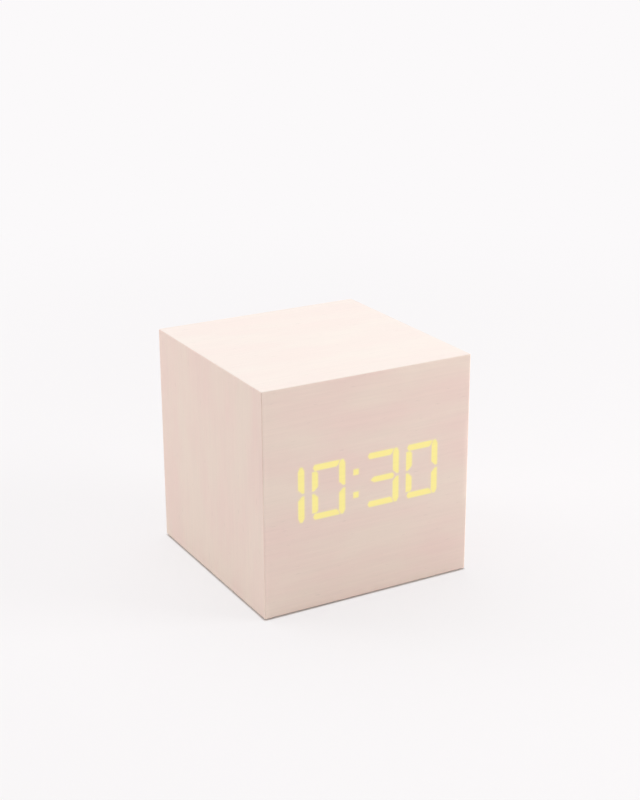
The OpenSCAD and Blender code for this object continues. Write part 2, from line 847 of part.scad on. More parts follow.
// The ribbon bows sideways between the sockets
ribbon_start = display_back + socket_size[1];
ribbon_end = main_front - socket_size[1];
function bow(t) = ribbon_x - ribbon_bulge * (1 - cos(360 * t)) / 2;
function bow_slope(t) = -ribbon_bulge * PI * sin(360 * t) / (ribbon_end - ribbon_start);
function ribbon_side(s) = concat(
    [[ribbon_x + s, ribbon_start - ribbon_in]],
    [for (i = [0:ribbon_steps]) let (t = i / ribbon_steps, m = bow_slope(t), n = sqrt(1 + m * m))
        [bow(t) + s / n, ribbon_start + t * (ribbon_end - ribbon_start) - s * m / n]],
    [[ribbon_x + s, ribbon_end + ribbon_in]]);
function reversed(list) = [for (i = [len(list) - 1:-1:0]) list[i]];

module display_ribbon() {
    color("#d8d5cc") translate([0, 0, ribbon_z - ribbon_w / 2]) linear_extrude(ribbon_w)
        polygon(concat(ribbon_side(ribbon_t / 2), reversed(ribbon_side(-ribbon_t / 2))));
}

// Battery bay

module ear(x, side) {
    translate([x, bay_y + side * tray_y / 2, floor_z]) difference() {
        union() {
            translate([0, side * ear_out, 0]) cylinder(r = ear_r, h = ear_t);
            translate([-ear_r, side > 0 ? -over : -ear_out, 0]) cube([2 * ear_r, ear_out + over, ear_t]);
        }
        translate([0, side * ear_out, -over]) cylinder(r = screw_r + pass_gap, h = ear_t + 2 * over);
    }
}

// A lug that carries a hinge pin, with a mouth that the pin snaps in through
module lug(x) {
    wall_y = bay_y - tray_in_y / 2;
    mouth_h = 1.5 * pin_r;
    translate([x, 0, hinge_z]) difference() {
        union() {
            translate([-lug_w / 2, wall_y - over, -lug_r]) cube([lug_w, hinge_y - wall_y + over, 2 * lug_r]);
            translate([0, hinge_y, 0]) bar(-lug_w / 2, lug_w / 2, lug_r);
        }
        translate([0, hinge_y, 0]) bar(-lug_w / 2 - over, lug_w / 2 + over, pin_r + pin_gap);
        translate([0, hinge_y + lug_r, 0]) cube([lug_w + 2 * over, 2 * lug_r, mouth_h], center = true);
    }
}

module battery_tray() {
    wall_half = bay_x / 2 - wall_gap;
    way_h = 4 * tray_wall;
    color("#232427") {
        difference() {
            union() {
                translate([-tray_x / 2, bay_y - tray_y / 2, floor_z])
                    cube([tray_x, tray_y, tray_top - floor_z]);
                // Long walls reach down through the opening in the base
                translate([-wall_half, bay_y - tray_y / 2, wall_foot])
                    cube([2 * wall_half, tray_y, floor_z - wall_foot + over]);
            }
            translate([-tray_in_x / 2, bay_y - tray_in_y / 2, wall_foot - over])
                cube([tray_in_x, tray_in_y, tray_ceil - wall_foot + over]);
            // Ways for the two terminal tabs
            for (end = [[1, cell_y[0]], [last_end, cell_y[cell_count - 1]]])
                translate([end[0] * (tray_in_x - plate_t) / 2, end[1], tray_ceil])
                    cube([plate_t + 2 * tab_gap, tab_w + 2 * tab_gap, way_h], center = true);
            // Room for the latch
            translate([-latch_half - latch_gap, bay_y + tray_in_y / 2 - over, wall_foot - over])
                cube([2 * (latch_half + latch_gap), tray_wall + 2 * over,
                    latch_top + latch_gap + over - wall_foot]);
        }
        // Ribs between the cells
        for (i = [1:cell_count - 1])
            translate([-tray_in_x / 2 + rib_end, cell_y[i] - (cell_pitch + rib_t) / 2, tray_ceil - rib_h])
                cube([tray_in_x - 2 * rib_end, rib_t, rib_h + over]);
        for (x = [-ear_x, ear_x], side = [-1, 1]) ear(x, side);
        for (x = [-lug_x, lug_x]) lug(x);
    }
}

module battery_door() {
    half = bay_x / 2 - door_gap;
    top = door_sink + door_t;
    web = 1;
    nib = 0.7;
    nib_end = 0.5;
    nib_h = 1.2;
    nib_edge = 0.2;
    groove_w = 0.7;
    groove_step = 2 * groove_w;
    groove_in = 3;
    groove_depth = 0.3;
    pin_sunk = 0.1;
    color("#1e1f22") {
        difference() {
            union() {
                translate([-half, hinge_y, door_sink]) cube([2 * half, door_rear - hinge_y, door_t]);
                translate([0, hinge_y, hinge_z]) bar(-half, half, door_t / 2);
                translate([-latch_half, door_rear - web, top - over])
                    cube([2 * latch_half, web, latch_top - top + over]);
                // Nib of the latch
                translate([nib_end - latch_half, 0, 0]) rotate([90, 0, 90])
                    linear_extrude(2 * (latch_half - nib_end))
                    polygon([[door_rear - over, latch_top], [door_rear, latch_top],
                        [door_rear + nib, latch_top - nib], [door_rear + nib, latch_top - nib - nib_edge],
                        [door_rear, latch_top - nib_h], [door_rear - over, latch_top - nib_h]]);
            }
            for (x = [-lug_x, lug_x])
                translate([x - lug_w / 2 - door_gap, hinge_y - door_t, door_sink - over])
                    cube([lug_w + 2 * door_gap, door_t + lug_r + door_gap, door_t + 2 * over]);
            // Slits that free the latch
            for (x = [-latch_half - latch_slit, latch_half])
                translate([x, door_rear - latch_len, door_sink - over])
                    cube([latch_slit, latch_len + over, door_t + 2 * over]);
            // Finger grooves
            for (i = [0:2])
                translate([web - latch_half, door_rear - groove_in - groove_step * i, door_sink - over])
                cube([2 * (latch_half - web), groove_w, groove_depth + over]);
        }
        for (x = [-lug_x, lug_x]) translate([x, hinge_y, hinge_z])
            bar(-lug_w / 2 - door_gap - pin_sunk, lug_w / 2 + door_gap + pin_sunk, pin_r);
    }
}

// A cell along X from its flat end at x = 0 to its nub
module cell() {
    body = cell_len - nub_h;
    ease = 0.5;
    rotate([0, 90, 0]) rotate_extrude() polygon([[0, 0], [cell_r - ease, 0], [cell_r, ease],
        [cell_r, body - ease], [cell_r - ease, body], [nub_r, body], [nub_r, cell_len], [0, cell_len]]);
}

// Each cell faces the other way from its neighbour
module each_cell() {
    for (i = [0:cell_count - 1]) translate([0, cell_y[i], cell_z]) mirror([i % 2, 0, 0])
        translate([-tray_in_x / 2 + plate_t, 0, 0]) children();
}

module battery_cells() {
    color("#4d5358") each_cell() translate([spring_len, 0, 0]) cell();
}

// Path of a cell spring: a flat turn, a cone, and a flat turn at the cell
spring_big = 3.6;
spring_small = 1.9;
spring_flat = 0.7;
spring_turns = 1.8;
spring_all = 2 * spring_flat + spring_turns;
spring_steps = 32;
near_steps = 4;
function rise(t) = max(0, min(1, (t - spring_flat) / spring_turns));
spring_path = [for (i = [0:spring_steps])
    let (t = spring_all * i / spring_steps, f = rise(t), r = spring_big + (spring_small - spring_big) * f)
    [spring_wire_r + f * (spring_len - 2 * spring_wire_r), r * cos(360 * t), r * sin(360 * t)]];
spring_self_gap = min([for (i = [0:spring_steps], j = [0:spring_steps]) if (j - i > near_steps)
    norm(spring_path[i] - spring_path[j])]) - 2 * spring_wire_r;
echo("least gap of a cell spring to itself, mm", spring_self_gap);

module cell_springs() {
    color("#c2c5c8") each_cell() tube(spring_path, spring_wire_r, wire_sides, [1, 0, 0]);
}

// A contact plate at one end, behind the cells from the first to the last
module contact(end, first, last) {
    y0 = cell_y[first] - plate_half;
    y1 = cell_y[last] + plate_half;
    face = end * (tray_in_x / 2 - plate_t);
    translate([min(face, end * tray_in_x / 2), y0, plate_foot])
        cube([plate_t, y1 - y0, plate_head - plate_foot]);
    // Bumps where a cell's nub meets the plate
    for (i = [first:last]) if ((end > 0) == (i % 2 == 0)) translate([face, cell_y[i], cell_z])
        bar(min(0, -end * bump_h), max(0, -end * bump_h), bump_r);
    // Tab of a terminal
    if (first == last)
        translate([min(face, end * tray_in_x / 2), cell_y[first] - tab_w / 2, plate_head - over])
            cube([plate_t, tab_w, tray_top + tab_rise - plate_head + over]);
}

module end_contacts() {
    // A terminal, a link behind each two neighbours, and the other terminal
    color("#cfd2d4") for (i = [0:cell_count])
        contact(i % 2 == 0 ? 1 : -1, max(i - 1, 0), min(i, cell_count - 1));
}

// Leads from the terminal tabs to the foot of the main board
lead_tab_x = tray_in_x / 2 - plate_t - lead_r;
lead_tab_z = tray_top + lead_joint;
red_route = [[lead_tab_x, cell_y[0], lead_tab_z],
    [lead_tab_x - lead_lean, cell_y[0] + red_run, tray_top + lead_lie],
    [lead_x, main_front - red_reach, lead_z], [lead_x, main_front - lead_gap, lead_z]];
black_y = cell_y[cell_count - 1];
black_route = [[last_end * lead_tab_x, black_y, lead_tab_z],
    [last_end * (lead_tab_x - lead_lean), black_y + black_run, tray_top + lead_lie],
    [-lead_x, main_front - black_reach, lead_z], [-lead_x, main_front - lead_gap, lead_z]];

module lead(route) {
    tube([for (i = [0:lead_steps]) bezier(route, i / lead_steps)], lead_r, wire_sides, lead_side);
}

module red_lead() color("#b3261e") lead(red_route);
module black_lead() color("#202124") lead(black_route);

module tray_screws() {
    color("#9a9da1") for (x = [-ear_x, ear_x], side = [-1, 1])
        translate([x, bay_y + side * (tray_y / 2 + ear_out), floor_z + ear_t]) rotate([90, 0, 0])
            screw(ear_t + bite, screw_r, tray_head_r);
}

front_veneer();
lit_segments();
front_board();
top_board();
left_board();
right_board();
base_board();
rear_panel();
corner_blocks();
rear_screws();
diffuser_film();
segment_reflector();
display_board();
segment_leds();
driver_chip();
display_screws();
main_board();
stand_offs();
board_screws();
switch_bodies();
set_plunger();
up_plunger();
down_plunger();
set_button();
up_button();
down_button();
usb_shell();
usb_tongue();
buzzer();
microphone();
thermistor();
clock_chip();
crystal();
coin_holder();
coin_cell();
ribbon_sockets();
display_ribbon();
battery_tray();
battery_door();
battery_cells();
cell_springs();
end_contacts();
red_lead();
black_lead();
tray_screws();
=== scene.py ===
# %% [markdown]
# # A wood-finished desk clock in Blender
# The clock is a 60 mm block of fibreboard, wrapped in a film that looks like bleached maple. Its
# time shines through the film on the front. A CAD model gives every place and size. The steps
# below give each surface its finish, and build a finer mesh where the CAD solid is too plain.
# Before each step, a text cell says what the piece is on the real clock and why it is made in
# this way. The code cell after it makes the piece and prints what it made.

import json
import math

import bmesh
import bpy
import numpy as np
from mathutils import Matrix, Vector
from mathutils.bvhtree import BVHTree


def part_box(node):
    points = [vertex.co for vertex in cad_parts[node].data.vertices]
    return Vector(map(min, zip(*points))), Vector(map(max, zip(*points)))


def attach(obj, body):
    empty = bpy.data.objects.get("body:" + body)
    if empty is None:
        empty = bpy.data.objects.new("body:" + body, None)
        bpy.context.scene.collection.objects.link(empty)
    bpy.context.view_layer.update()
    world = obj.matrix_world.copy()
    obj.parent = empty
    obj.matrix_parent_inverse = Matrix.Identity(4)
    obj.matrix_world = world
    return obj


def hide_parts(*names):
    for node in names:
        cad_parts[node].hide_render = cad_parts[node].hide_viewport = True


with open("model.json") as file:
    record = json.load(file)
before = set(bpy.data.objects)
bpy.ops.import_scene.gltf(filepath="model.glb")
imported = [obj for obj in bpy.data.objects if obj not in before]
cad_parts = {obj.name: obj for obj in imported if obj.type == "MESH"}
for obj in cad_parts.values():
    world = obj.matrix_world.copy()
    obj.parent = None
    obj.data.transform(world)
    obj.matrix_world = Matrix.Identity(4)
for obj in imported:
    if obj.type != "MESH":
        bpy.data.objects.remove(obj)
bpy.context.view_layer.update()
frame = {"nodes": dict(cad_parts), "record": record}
nodes = frame["nodes"]
MM = 0.001
CASE_HALF = 30 * MM
MIDDLE = Vector((0, 0, CASE_HALF))

# %% [markdown]
# ## Camera
# The camera stands where the photographer stood. Its place and lens were worked out from the
# seven corners of the block that show, with the middle of the picture as the lens's centre, so
# that no lens shift is needed. Three axes make the camera's matrix: right, up and backwards.

# %% Camera
CAMERA_PLACE = Vector((-186.1, -336.8, 179.5)) * MM
CAMERA_TURN = math.radians(-29.28)
CAMERA_TILT = math.radians(19.45)
CAMERA_ROLL = math.radians(-0.2)
SENSOR_MM = 36
FOCAL_SHARE = 1.93
NEAREST = 10 * MM

back = Vector((math.sin(CAMERA_TURN) * math.cos(CAMERA_TILT),
               -math.cos(CAMERA_TURN) * math.cos(CAMERA_TILT), math.sin(CAMERA_TILT)))
level = Vector((math.cos(CAMERA_TURN), math.sin(CAMERA_TURN), 0))
right = Matrix.Rotation(CAMERA_ROLL, 3, back) @ level
camera_data = bpy.data.cameras.new("camera")
camera_data.sensor_width = SENSOR_MM
camera_data.lens = SENSOR_MM * FOCAL_SHARE
camera_data.clip_start = NEAREST
camera = bpy.data.objects.new("camera", camera_data)
axes = Matrix((right, back.cross(right), back)).transposed().to_4x4()
camera.matrix_world = Matrix.Translation(CAMERA_PLACE) @ axes
bpy.context.scene.collection.objects.link(camera)
bpy.context.scene.camera = camera
print("lens in mm:", round(camera_data.lens, 1))

# %% [markdown]
# ## Colours and nodes
# Colours are written as sRGB hex values, as a paint program shows them. Blender's shaders want
# linear light, so one function converts them. A second function adds a node, sets it up and
# links it, which keeps the materials below short enough to read.

# %% Helpers for materials
def linear(colour):
    """An sRGB hex value as a linear colour with full opacity."""
    parts = [int(colour[i:i + 2], 16) / 255 for i in (1, 3, 5)]
    return [c / 12.92 if c <= 0.04045 else ((c + 0.055) / 1.055) ** 2.4 for c in parts] + [1]


def add(tree, kind, inputs=(), **settings):
    """Adds a node. Inputs maps a socket's name or number to a value or to another node's socket."""
    made = tree.nodes.new(kind)
    for name, value in settings.items():
        setattr(made, name, value)
    for name, value in dict(inputs).items():
        if isinstance(value, bpy.types.NodeSocket):
            tree.links.new(value, made.inputs[name])
        else:
            made.inputs[name].default_value = value
    return made


def new_finish(name, sockets):
    """A material with a Principled shader whose sockets hold constant values."""
    material = bpy.data.materials.new(name)
    material.use_nodes = True
    shader = material.node_tree.nodes["Principled BSDF"]
    for socket, value in sockets.items():
        shader.inputs[socket].default_value = value
    return material, material.node_tree, shader


print("white in linear light:", linear("#ffffff"))

# %% [markdown]
# ## Floor
# The real clock stands on white paper. It has a hole under the clock here, which the clock hides,
# so that the underside is lit and shows when the camera goes below. No board is quite flat, so
# the clock meets the paper at a few points only. The floor therefore lies a quarter of a
# millimetre down, and the gap draws the thin dark line that the photograph has round the foot.

# %% Floor
FLOOR_HALF = 4000 * MM
FLOOR_HOLE_HALF = 29.2 * MM
FLOOR_DROP = 0.24 * MM
SQUARE = [(-1, -1), (1, -1), (1, 1), (-1, 1)]

floor_mesh = bmesh.new()
outer, inner = [[floor_mesh.verts.new((x * half, y * half, -FLOOR_DROP)) for x, y in SQUARE]
                for half in (FLOOR_HALF, FLOOR_HOLE_HALF)]
for i in range(len(SQUARE)):
    j = (i + 1) % len(SQUARE)
    floor_mesh.faces.new((outer[i], outer[j], inner[j], inner[i]))
floor_data = bpy.data.meshes.new("floor")
floor_mesh.to_mesh(floor_data)
floor_mesh.free()
floor = bpy.data.objects.new("floor", floor_data)
bpy.context.scene.collection.objects.link(floor)
print("floor faces:", len(floor_data.polygons))

# %% [markdown]
# The paper is matt. The photograph was exposed until the paper was nearly white, so its shadows
# are very faint. The camera therefore sees the paper as part glow and part lit surface. The glow
# grows with the distance, where no shadow falls, and the paper becomes an even backdrop. It fades
# out close to the clock, where it would fill in the dark line. Under the clock's edge the paper is
# also painted slightly darker and browner, a painted shade that deepens that line as it is in the
# photograph. From behind, the paper is clear, for the views from below.

# %% Finish of the floor
FLOOR_COLOUR = "#e2e0e0"
# Painted shade: the paper's colour close under the clock's edge, darker and browner than the rest
GAP_PAINTED_SHADE = "#dddad8"
FLOOR_GLOW = "#fbf9fa"
GLOW_NEAR, GLOW_FAR = 0.67, 1.0
FAR_FROM, FAR_TO = 150 * MM, 400 * MM
FADE = 0.3 * MM


def looking(tree):
    """One for rays that look, straight or by way of metal or glass, and zero for those that light."""
    path = add(tree, "ShaderNodeLightPath").outputs
    seen = add(tree, "ShaderNodeMath", {0: path["Is Camera Ray"], 1: path["Is Glossy Ray"]},
               operation="MAXIMUM")
    seen = add(tree, "ShaderNodeMath", {0: seen.outputs[0], 1: path["Is Transmission Ray"]},
               operation="MAXIMUM")
    return seen.outputs[0]


paper, tree, shader = new_finish("matt_paper", {"Roughness": 0.9, "Specular IOR Level": 0.2})
spot = add(tree, "ShaderNodeTexCoord").outputs["Object"]
place = add(tree, "ShaderNodeSeparateXYZ", {0: spot}).outputs
away = [add(tree, "ShaderNodeMath", {0: place[axis]}, operation="ABSOLUTE").outputs[0] for axis in "XY"]
beside = add(tree, "ShaderNodeMath", {0: away[0], 1: away[1]}, operation="MAXIMUM").outputs[0]
near = add(tree, "ShaderNodeMapRange", {"Value": beside, "From Min": CASE_HALF, "From Max": CASE_HALF + FADE},
           interpolation_type="SMOOTHSTEP")
# A Mix node of colours has its factor in socket 0, its colours in 6 and 7 and its result in 2.
# Painted shade: close under the clock's edge the paper's colour is mixed towards a darker, browner tone
tone = add(tree, "ShaderNodeMix", {0: near.outputs[0], 6: linear(GAP_PAINTED_SHADE), 7: linear(FLOOR_COLOUR)},
           data_type="RGBA")
tree.links.new(tone.outputs[2], shader.inputs["Base Color"])
reach = add(tree, "ShaderNodeVectorMath", {0: spot}, operation="LENGTH").outputs["Value"]
far = add(tree, "ShaderNodeMapRange", {"Value": reach, "From Min": FAR_FROM, "From Max": FAR_TO,
                                       "To Min": GLOW_NEAR, "To Max": GLOW_FAR},
          interpolation_type="SMOOTHSTEP")
share = add(tree, "ShaderNodeMath", {0: near.outputs[0], 1: far.outputs[0]}, operation="MULTIPLY")
share = add(tree, "ShaderNodeMath", {0: share.outputs[0], 1: looking(tree)}, operation="MULTIPLY")
glow = add(tree, "ShaderNodeEmission", {"Color": linear(FLOOR_GLOW)})
lit = add(tree, "ShaderNodeMixShader", {0: share.outputs[0], 1: shader.outputs[0], 2: glow.outputs[0]})
behind = add(tree, "ShaderNodeNewGeometry").outputs["Backfacing"]
clear = add(tree, "ShaderNodeBsdfTransparent")
both = add(tree, "ShaderNodeMixShader", {0: behind, 1: lit.outputs[0], 2: clear.outputs[0]})
tree.links.new(both.outputs[0], tree.nodes["Material Output"].inputs["Surface"])
floor_data.materials.append(paper)
print("paper's nodes:", len(tree.nodes))

# %% [markdown]
# ## World
# A white room sends some light back from all round. The world does that at about a third of full
# strength. Looked at straight or in a reflection it is full white, like the studio's backdrop.

# %% World
WORLD_COLOUR = "#fbfafb"
WORLD_LIGHT = 0.36

world = bpy.data.worlds.new("studio")
bpy.context.scene.world = world
world.use_nodes = True
tree = world.node_tree
strength = add(tree, "ShaderNodeMapRange", {"Value": looking(tree), "To Min": WORLD_LIGHT, "To Max": 1.0})
sky = tree.nodes["Background"]
sky.inputs["Color"].default_value = linear(WORLD_COLOUR)
tree.links.new(strength.outputs[0], sky.inputs["Strength"])
bpy.context.scene.view_settings.view_transform = "Standard"
print("world light:", WORLD_LIGHT)

# %% [markdown]
# ## Lamps
# In the photograph the top is almost white, the left side is a little brighter than the front,
# and no shadow has an edge. A wide sun stands in for a big soft box overhead. Its spread of 80
# degrees leaves no edge, and its lean puts some light on the front. Two large discs fill in: one
# on the right for the front, one on the left for the left side. The discs make no highlights, as
# through a polarising filter, so that the top doesn't turn white when it is seen from behind.

# %% Lamps
SUN_SPREAD = math.radians(80)
SUN_LIGHT = 1.95
SUN_LEAN = math.radians(-14)
LAMP_SIZE = 400 * MM
LAMPS = [
    ("lamp_right", Vector((520, -370, 250)) * MM, 2.48),
    ("lamp_left", Vector((-500, 430, 190)) * MM, 1.6),
]

sun_data = bpy.data.lights.new("lamp_above", "SUN")
sun_data.angle = SUN_SPREAD
sun_data.energy = SUN_LIGHT
sun = bpy.data.objects.new("lamp_above", sun_data)
sun.rotation_euler.x = SUN_LEAN
bpy.context.scene.collection.objects.link(sun)
for name, place, watts in LAMPS:
    lamp_data = bpy.data.lights.new(name, "AREA")
    lamp_data.shape = "DISK"
    lamp_data.size = LAMP_SIZE
    lamp_data.energy = watts
    lamp = bpy.data.objects.new(name, lamp_data)
    lamp.visible_camera = False
    lamp.visible_glossy = False
    lamp.location = place
    lamp.rotation_euler = (MIDDLE - place).to_track_quat("-Z", "Y").to_euler()
    bpy.context.scene.collection.objects.link(lamp)
print("lamps:", [sun.name] + [name for name, *_ in LAMPS])

# %% [markdown]
# ## Grain
# Wood grain is long in one direction and fine in the other two. Noise that is stretched along an
# axis looks the same. One function makes such a layer, from the length and the width that its
# marks have on the real film, in millimetres.

# %% A layer of grain
FIGURE = (26, 9)
STREAK = (16, 0.55)
FLECK = (3.2, 0.6)
PORE = (2.4, 0.14)


def grain_layer(tree, place, grain, size, detail, seed):
    """Noise stretched along the grain's axis. The size is its marks' length and width in mm."""
    length, width = size
    scale = [1 / ((length if axis == grain else width) * MM) for axis in "XYZ"]
    stretched = add(tree, "ShaderNodeMapping", {"Vector": place, "Location": (seed, seed, seed),
                                                "Scale": scale})
    return add(tree, "ShaderNodeTexNoise", {"Vector": stretched.outputs[0], "Scale": 1.0, "Detail": detail})


print("marks of the grain, long and wide in mm:", FIGURE, STREAK, FLECK, PORE)

# %% [markdown]
# ## Wood film
# The film is printed plastic: cream clouds with a breath of pink, fine pale and dark streaks, and
# a few short flecks. A faint embossed grain breaks its highlights, so it reads as oiled wood and
# not as paper. Where the film is folded round an upright edge it is painted paler: partly the
# stretched film's own whitening, partly a painted highlight that lifts the shade of the eased edge.
# The product of the normal's X and Y parts is zero on the flat sides and highest on that fold.

# %% Wood film
ROUGH_DETAIL, SMOOTH_DETAIL = 3, 1
CLOUD_FROM, CLOUD_TO = 0.35, 0.65
STREAK_FROM, STREAK_TO = 0.3, 0.7
STREAK_DARK, STREAK_PALE = 0.982, 1.012
FLECK_FROM, FLECK_TO = 0.68, 0.78
FLECK_DARK = 0.93
FOLD_TOP = 0.5
FOLD_WHITENING_AND_HIGHLIGHT = 1.25
SATIN, MATT = 0.5, 0.66
EMBOSS = 0.02 * MM
EMBOSS_SHARE = 0.25


def wood_film(name, grain, cream, pink, seed):
    """Bleached maple, printed on matt film. Its grain runs along X or Z."""
    material, tree, shader = new_finish(name, {"IOR": 1.5, "Specular IOR Level": 0.35})
    place = add(tree, "ShaderNodeTexCoord").outputs["Object"]

    # Each layer starts at another place in the noise, so that no two look alike
    figure = grain_layer(tree, place, grain, FIGURE, ROUGH_DETAIL, seed)
    streak = grain_layer(tree, place, grain, STREAK, ROUGH_DETAIL, seed + 3)
    fleck = grain_layer(tree, place, grain, FLECK, SMOOTH_DETAIL, seed + 5)
    pore = grain_layer(tree, place, grain, PORE, SMOOTH_DETAIL, seed + 7)

    # Clouds of cream and pink keep large faces from looking painted
    tint = add(tree, "ShaderNodeMapRange", {"Value": figure.outputs[0], "From Min": CLOUD_FROM,
                                            "From Max": CLOUD_TO})
    ground = add(tree, "ShaderNodeMix", {0: tint.outputs[0], 6: linear(cream), 7: linear(pink)},
                 data_type="RGBA")

    # Streaks and flecks show which way the grain runs
    lines = add(tree, "ShaderNodeMapRange", {"Value": streak.outputs[0], "From Min": STREAK_FROM,
                                             "From Max": STREAK_TO, "To Min": STREAK_DARK,
                                             "To Max": STREAK_PALE})
    marks = add(tree, "ShaderNodeMapRange", {"Value": fleck.outputs[0], "From Min": FLECK_FROM,
                                             "From Max": FLECK_TO, "To Min": 1.0, "To Max": FLECK_DARK})
    value = add(tree, "ShaderNodeMath", {0: lines.outputs[0], 1: marks.outputs[0]}, operation="MULTIPLY")

    # The upright fold is painted paler: partly the stretched film's whitening, partly a painted highlight on
    # the eased edge
    normal = add(tree, "ShaderNodeNewGeometry").outputs["Normal"]
    facing = add(tree, "ShaderNodeSeparateXYZ", {0: normal}).outputs
    fold = add(tree, "ShaderNodeMath", {0: facing["X"], 1: facing["Y"]}, operation="MULTIPLY")
    fold = add(tree, "ShaderNodeMath", {0: fold.outputs[0]}, operation="ABSOLUTE")
    pale = add(tree, "ShaderNodeMapRange", {"Value": fold.outputs[0], "From Max": FOLD_TOP, "To Min": 1.0,
                                            "To Max": FOLD_WHITENING_AND_HIGHLIGHT})
    value = add(tree, "ShaderNodeMath", {0: value.outputs[0], 1: pale.outputs[0]}, operation="MULTIPLY")
    wood = add(tree, "ShaderNodeVectorMath", {0: ground.outputs[2], 1: value.outputs[0]},
               operation="MULTIPLY")

    # Gloss that wavers with the streaks, over pores that catch the light
    gloss = add(tree, "ShaderNodeMapRange", {"Value": streak.outputs[0], "To Min": SATIN, "To Max": MATT})
    relief = add(tree, "ShaderNodeBump", {"Height": pore.outputs[0], "Strength": EMBOSS_SHARE,
                                          "Distance": EMBOSS})
    tree.links.new(wood.outputs[0], shader.inputs["Base Color"])
    tree.links.new(gloss.outputs[0], shader.inputs["Roughness"])
    tree.links.new(relief.outputs[0], shader.inputs["Normal"])
    return material, tree, shader, wood, streak


FILM_CREAM, FILM_PINK = "#e9d7ca", "#e9d1c7"
# The top's film is the same film, painted paler and less saturated: painted light of the lamp above
TOP_CREAM_PAINTED_PALER, TOP_PINK_PAINTED_PALER = "#ebe1d9", "#ebded7"
film_level = wood_film("film_grain_level", "X", FILM_CREAM, FILM_PINK, 0)[0]
film_upright = wood_film("film_grain_upright", "Z", FILM_CREAM, FILM_PINK, 11)[0]
film_top_painted_paler = wood_film("film_top_painted_paler", "X", TOP_CREAM_PAINTED_PALER, TOP_PINK_PAINTED_PALER, 23)[0]
film_rear = wood_film("film_rear", "X", FILM_CREAM, FILM_PINK, 31)[0]
print("film finishes:", [m.name for m in (film_level, film_upright, film_top_painted_paler, film_rear)])

# %% [markdown]
# ## Fibreboard
# Where the film ends, the board itself shows: brown, felted wood fibre, matt and dry. It is only
# seen on mitres, in the recess at the back and in drilled holes, so one noise of fibre size is
# enough for its colour and its roughness to the touch.

# %% Fibreboard
FIBRE = 0.8 * MM
FIBRE_DARK, FIBRE_PALE = "#a88562", "#c6a783"
FIBRE_DETAIL = 4
FIBRE_DEPTH = 0.05 * MM
FIBRE_SHARE = 0.4

fibreboard, tree, shader = new_finish("raw_fibreboard", {"Roughness": 0.9, "Specular IOR Level": 0.2})
place = add(tree, "ShaderNodeTexCoord").outputs["Object"]
fibre = add(tree, "ShaderNodeTexNoise", {"Vector": place, "Scale": 1 / FIBRE, "Detail": FIBRE_DETAIL})
mixed = add(tree, "ShaderNodeMix", {0: fibre.outputs[0], 6: linear(FIBRE_DARK), 7: linear(FIBRE_PALE)},
            data_type="RGBA")
relief = add(tree, "ShaderNodeBump", {"Height": fibre.outputs[0], "Strength": FIBRE_SHARE,
                                      "Distance": FIBRE_DEPTH})
tree.links.new(mixed.outputs[2], shader.inputs["Base Color"])
tree.links.new(relief.outputs[0], shader.inputs["Normal"])
print("fibreboard's nodes:", len(tree.nodes))

# %% [markdown]
# ## Meshes
# Two functions finish every mesh. The first makes it smooth apart from its sharp edges. The
# second puts it in the scene on one of the CAD model's bodies, and lets its large flat faces
# decide how the small eased edges beside them are shaded, so that the flat faces stay flat.

# %% Helpers for meshes
SHARP_ANGLE = math.radians(32)


def to_mesh(shape, name, *materials):
    """Turns a bmesh into a mesh that is smooth apart from its sharp edges."""
    mesh = bpy.data.meshes.new(name)
    bmesh.ops.recalc_face_normals(shape, faces=shape.faces[:])
    shape.to_mesh(mesh)
    shape.free()
    for material in materials:
        mesh.materials.append(material)
    mesh.shade_smooth()
    mesh.set_sharp_from_angle(angle=SHARP_ANGLE)
    return mesh


def show(name, mesh, body, slot, *replaced):
    """Puts a finished mesh in the scene as a piece of the clock that rides on a body."""
    made = bpy.data.objects.new(name, mesh)
    bpy.context.scene.collection.objects.link(made)
    made.modifiers.new("even_shading", "WEIGHTED_NORMAL").keep_sharp = True
    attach(made, body)
    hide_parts(*replaced)
    print(name, "has", len(mesh.polygons), "faces")
    return made


print("helpers:", [made.__name__ for made in (to_mesh, show)])

# %% [markdown]
# ## Boards
# A mitred box could be made by cutting one rounded block into boards along planes at 45 degrees.
# That is done here: each board starts as the whole block with eased edges, and planes cut away
# all but its own share. The mitres then meet exactly. Faces inside the block are bare board.

# %% Top, left, right and base boards
EASE = 0.45 * MM
EASE_STEPS = 4
BOARD = 4 * MM
BOARDS = [
    ("top_panel", (0, 0, 1), film_top_painted_paler, "top_board"),
    ("left_panel", (-1, 0, 0), film_upright, "left_board"),
    ("right_panel", (1, 0, 0), film_upright, "right_board"),
    ("base_panel", (0, 0, -1), film_level, "base_board"),
]


def cut_block(planes):
    """The eased block, cut back by planes given as (point, normal towards what goes)."""
    shape = bmesh.new()
    bmesh.ops.create_cube(shape, size=2 * CASE_HALF, matrix=Matrix.Translation(MIDDLE))
    bmesh.ops.bevel(shape, geom=shape.edges[:], offset=EASE, segments=EASE_STEPS, profile=0.5,
                    affect="EDGES")
    for point, normal in planes:
        whole = shape.verts[:] + shape.edges[:] + shape.faces[:]
        cut = bmesh.ops.bisect_plane(shape, geom=whole, plane_co=point, plane_no=normal, clear_outer=True)
        rim = [part for part in cut["geom_cut"] if isinstance(part, bmesh.types.BMEdge)]
        bmesh.ops.holes_fill(shape, edges=rim)
    return shape


panels = {}
for name, outward, film, node in BOARDS:
    out = Vector(outward)
    across = Vector((0, 0, 1)) if out.x else Vector((1, 0, 0))
    mitres = [(MIDDLE, other - out) for other in (across, -across, Vector((0, -1, 0)))]
    shape = cut_block(mitres + [(MIDDLE + out * (CASE_HALF - BOARD), -out)])
    for face in shape.faces:
        depth = CASE_HALF - max(abs(c) for c in face.calc_center_median() - MIDDLE)
        face.material_index = 1 if depth > EASE else 0
    panels[name] = show(name, to_mesh(shape, name, film, fibreboard), "case", "pale_wood", node)

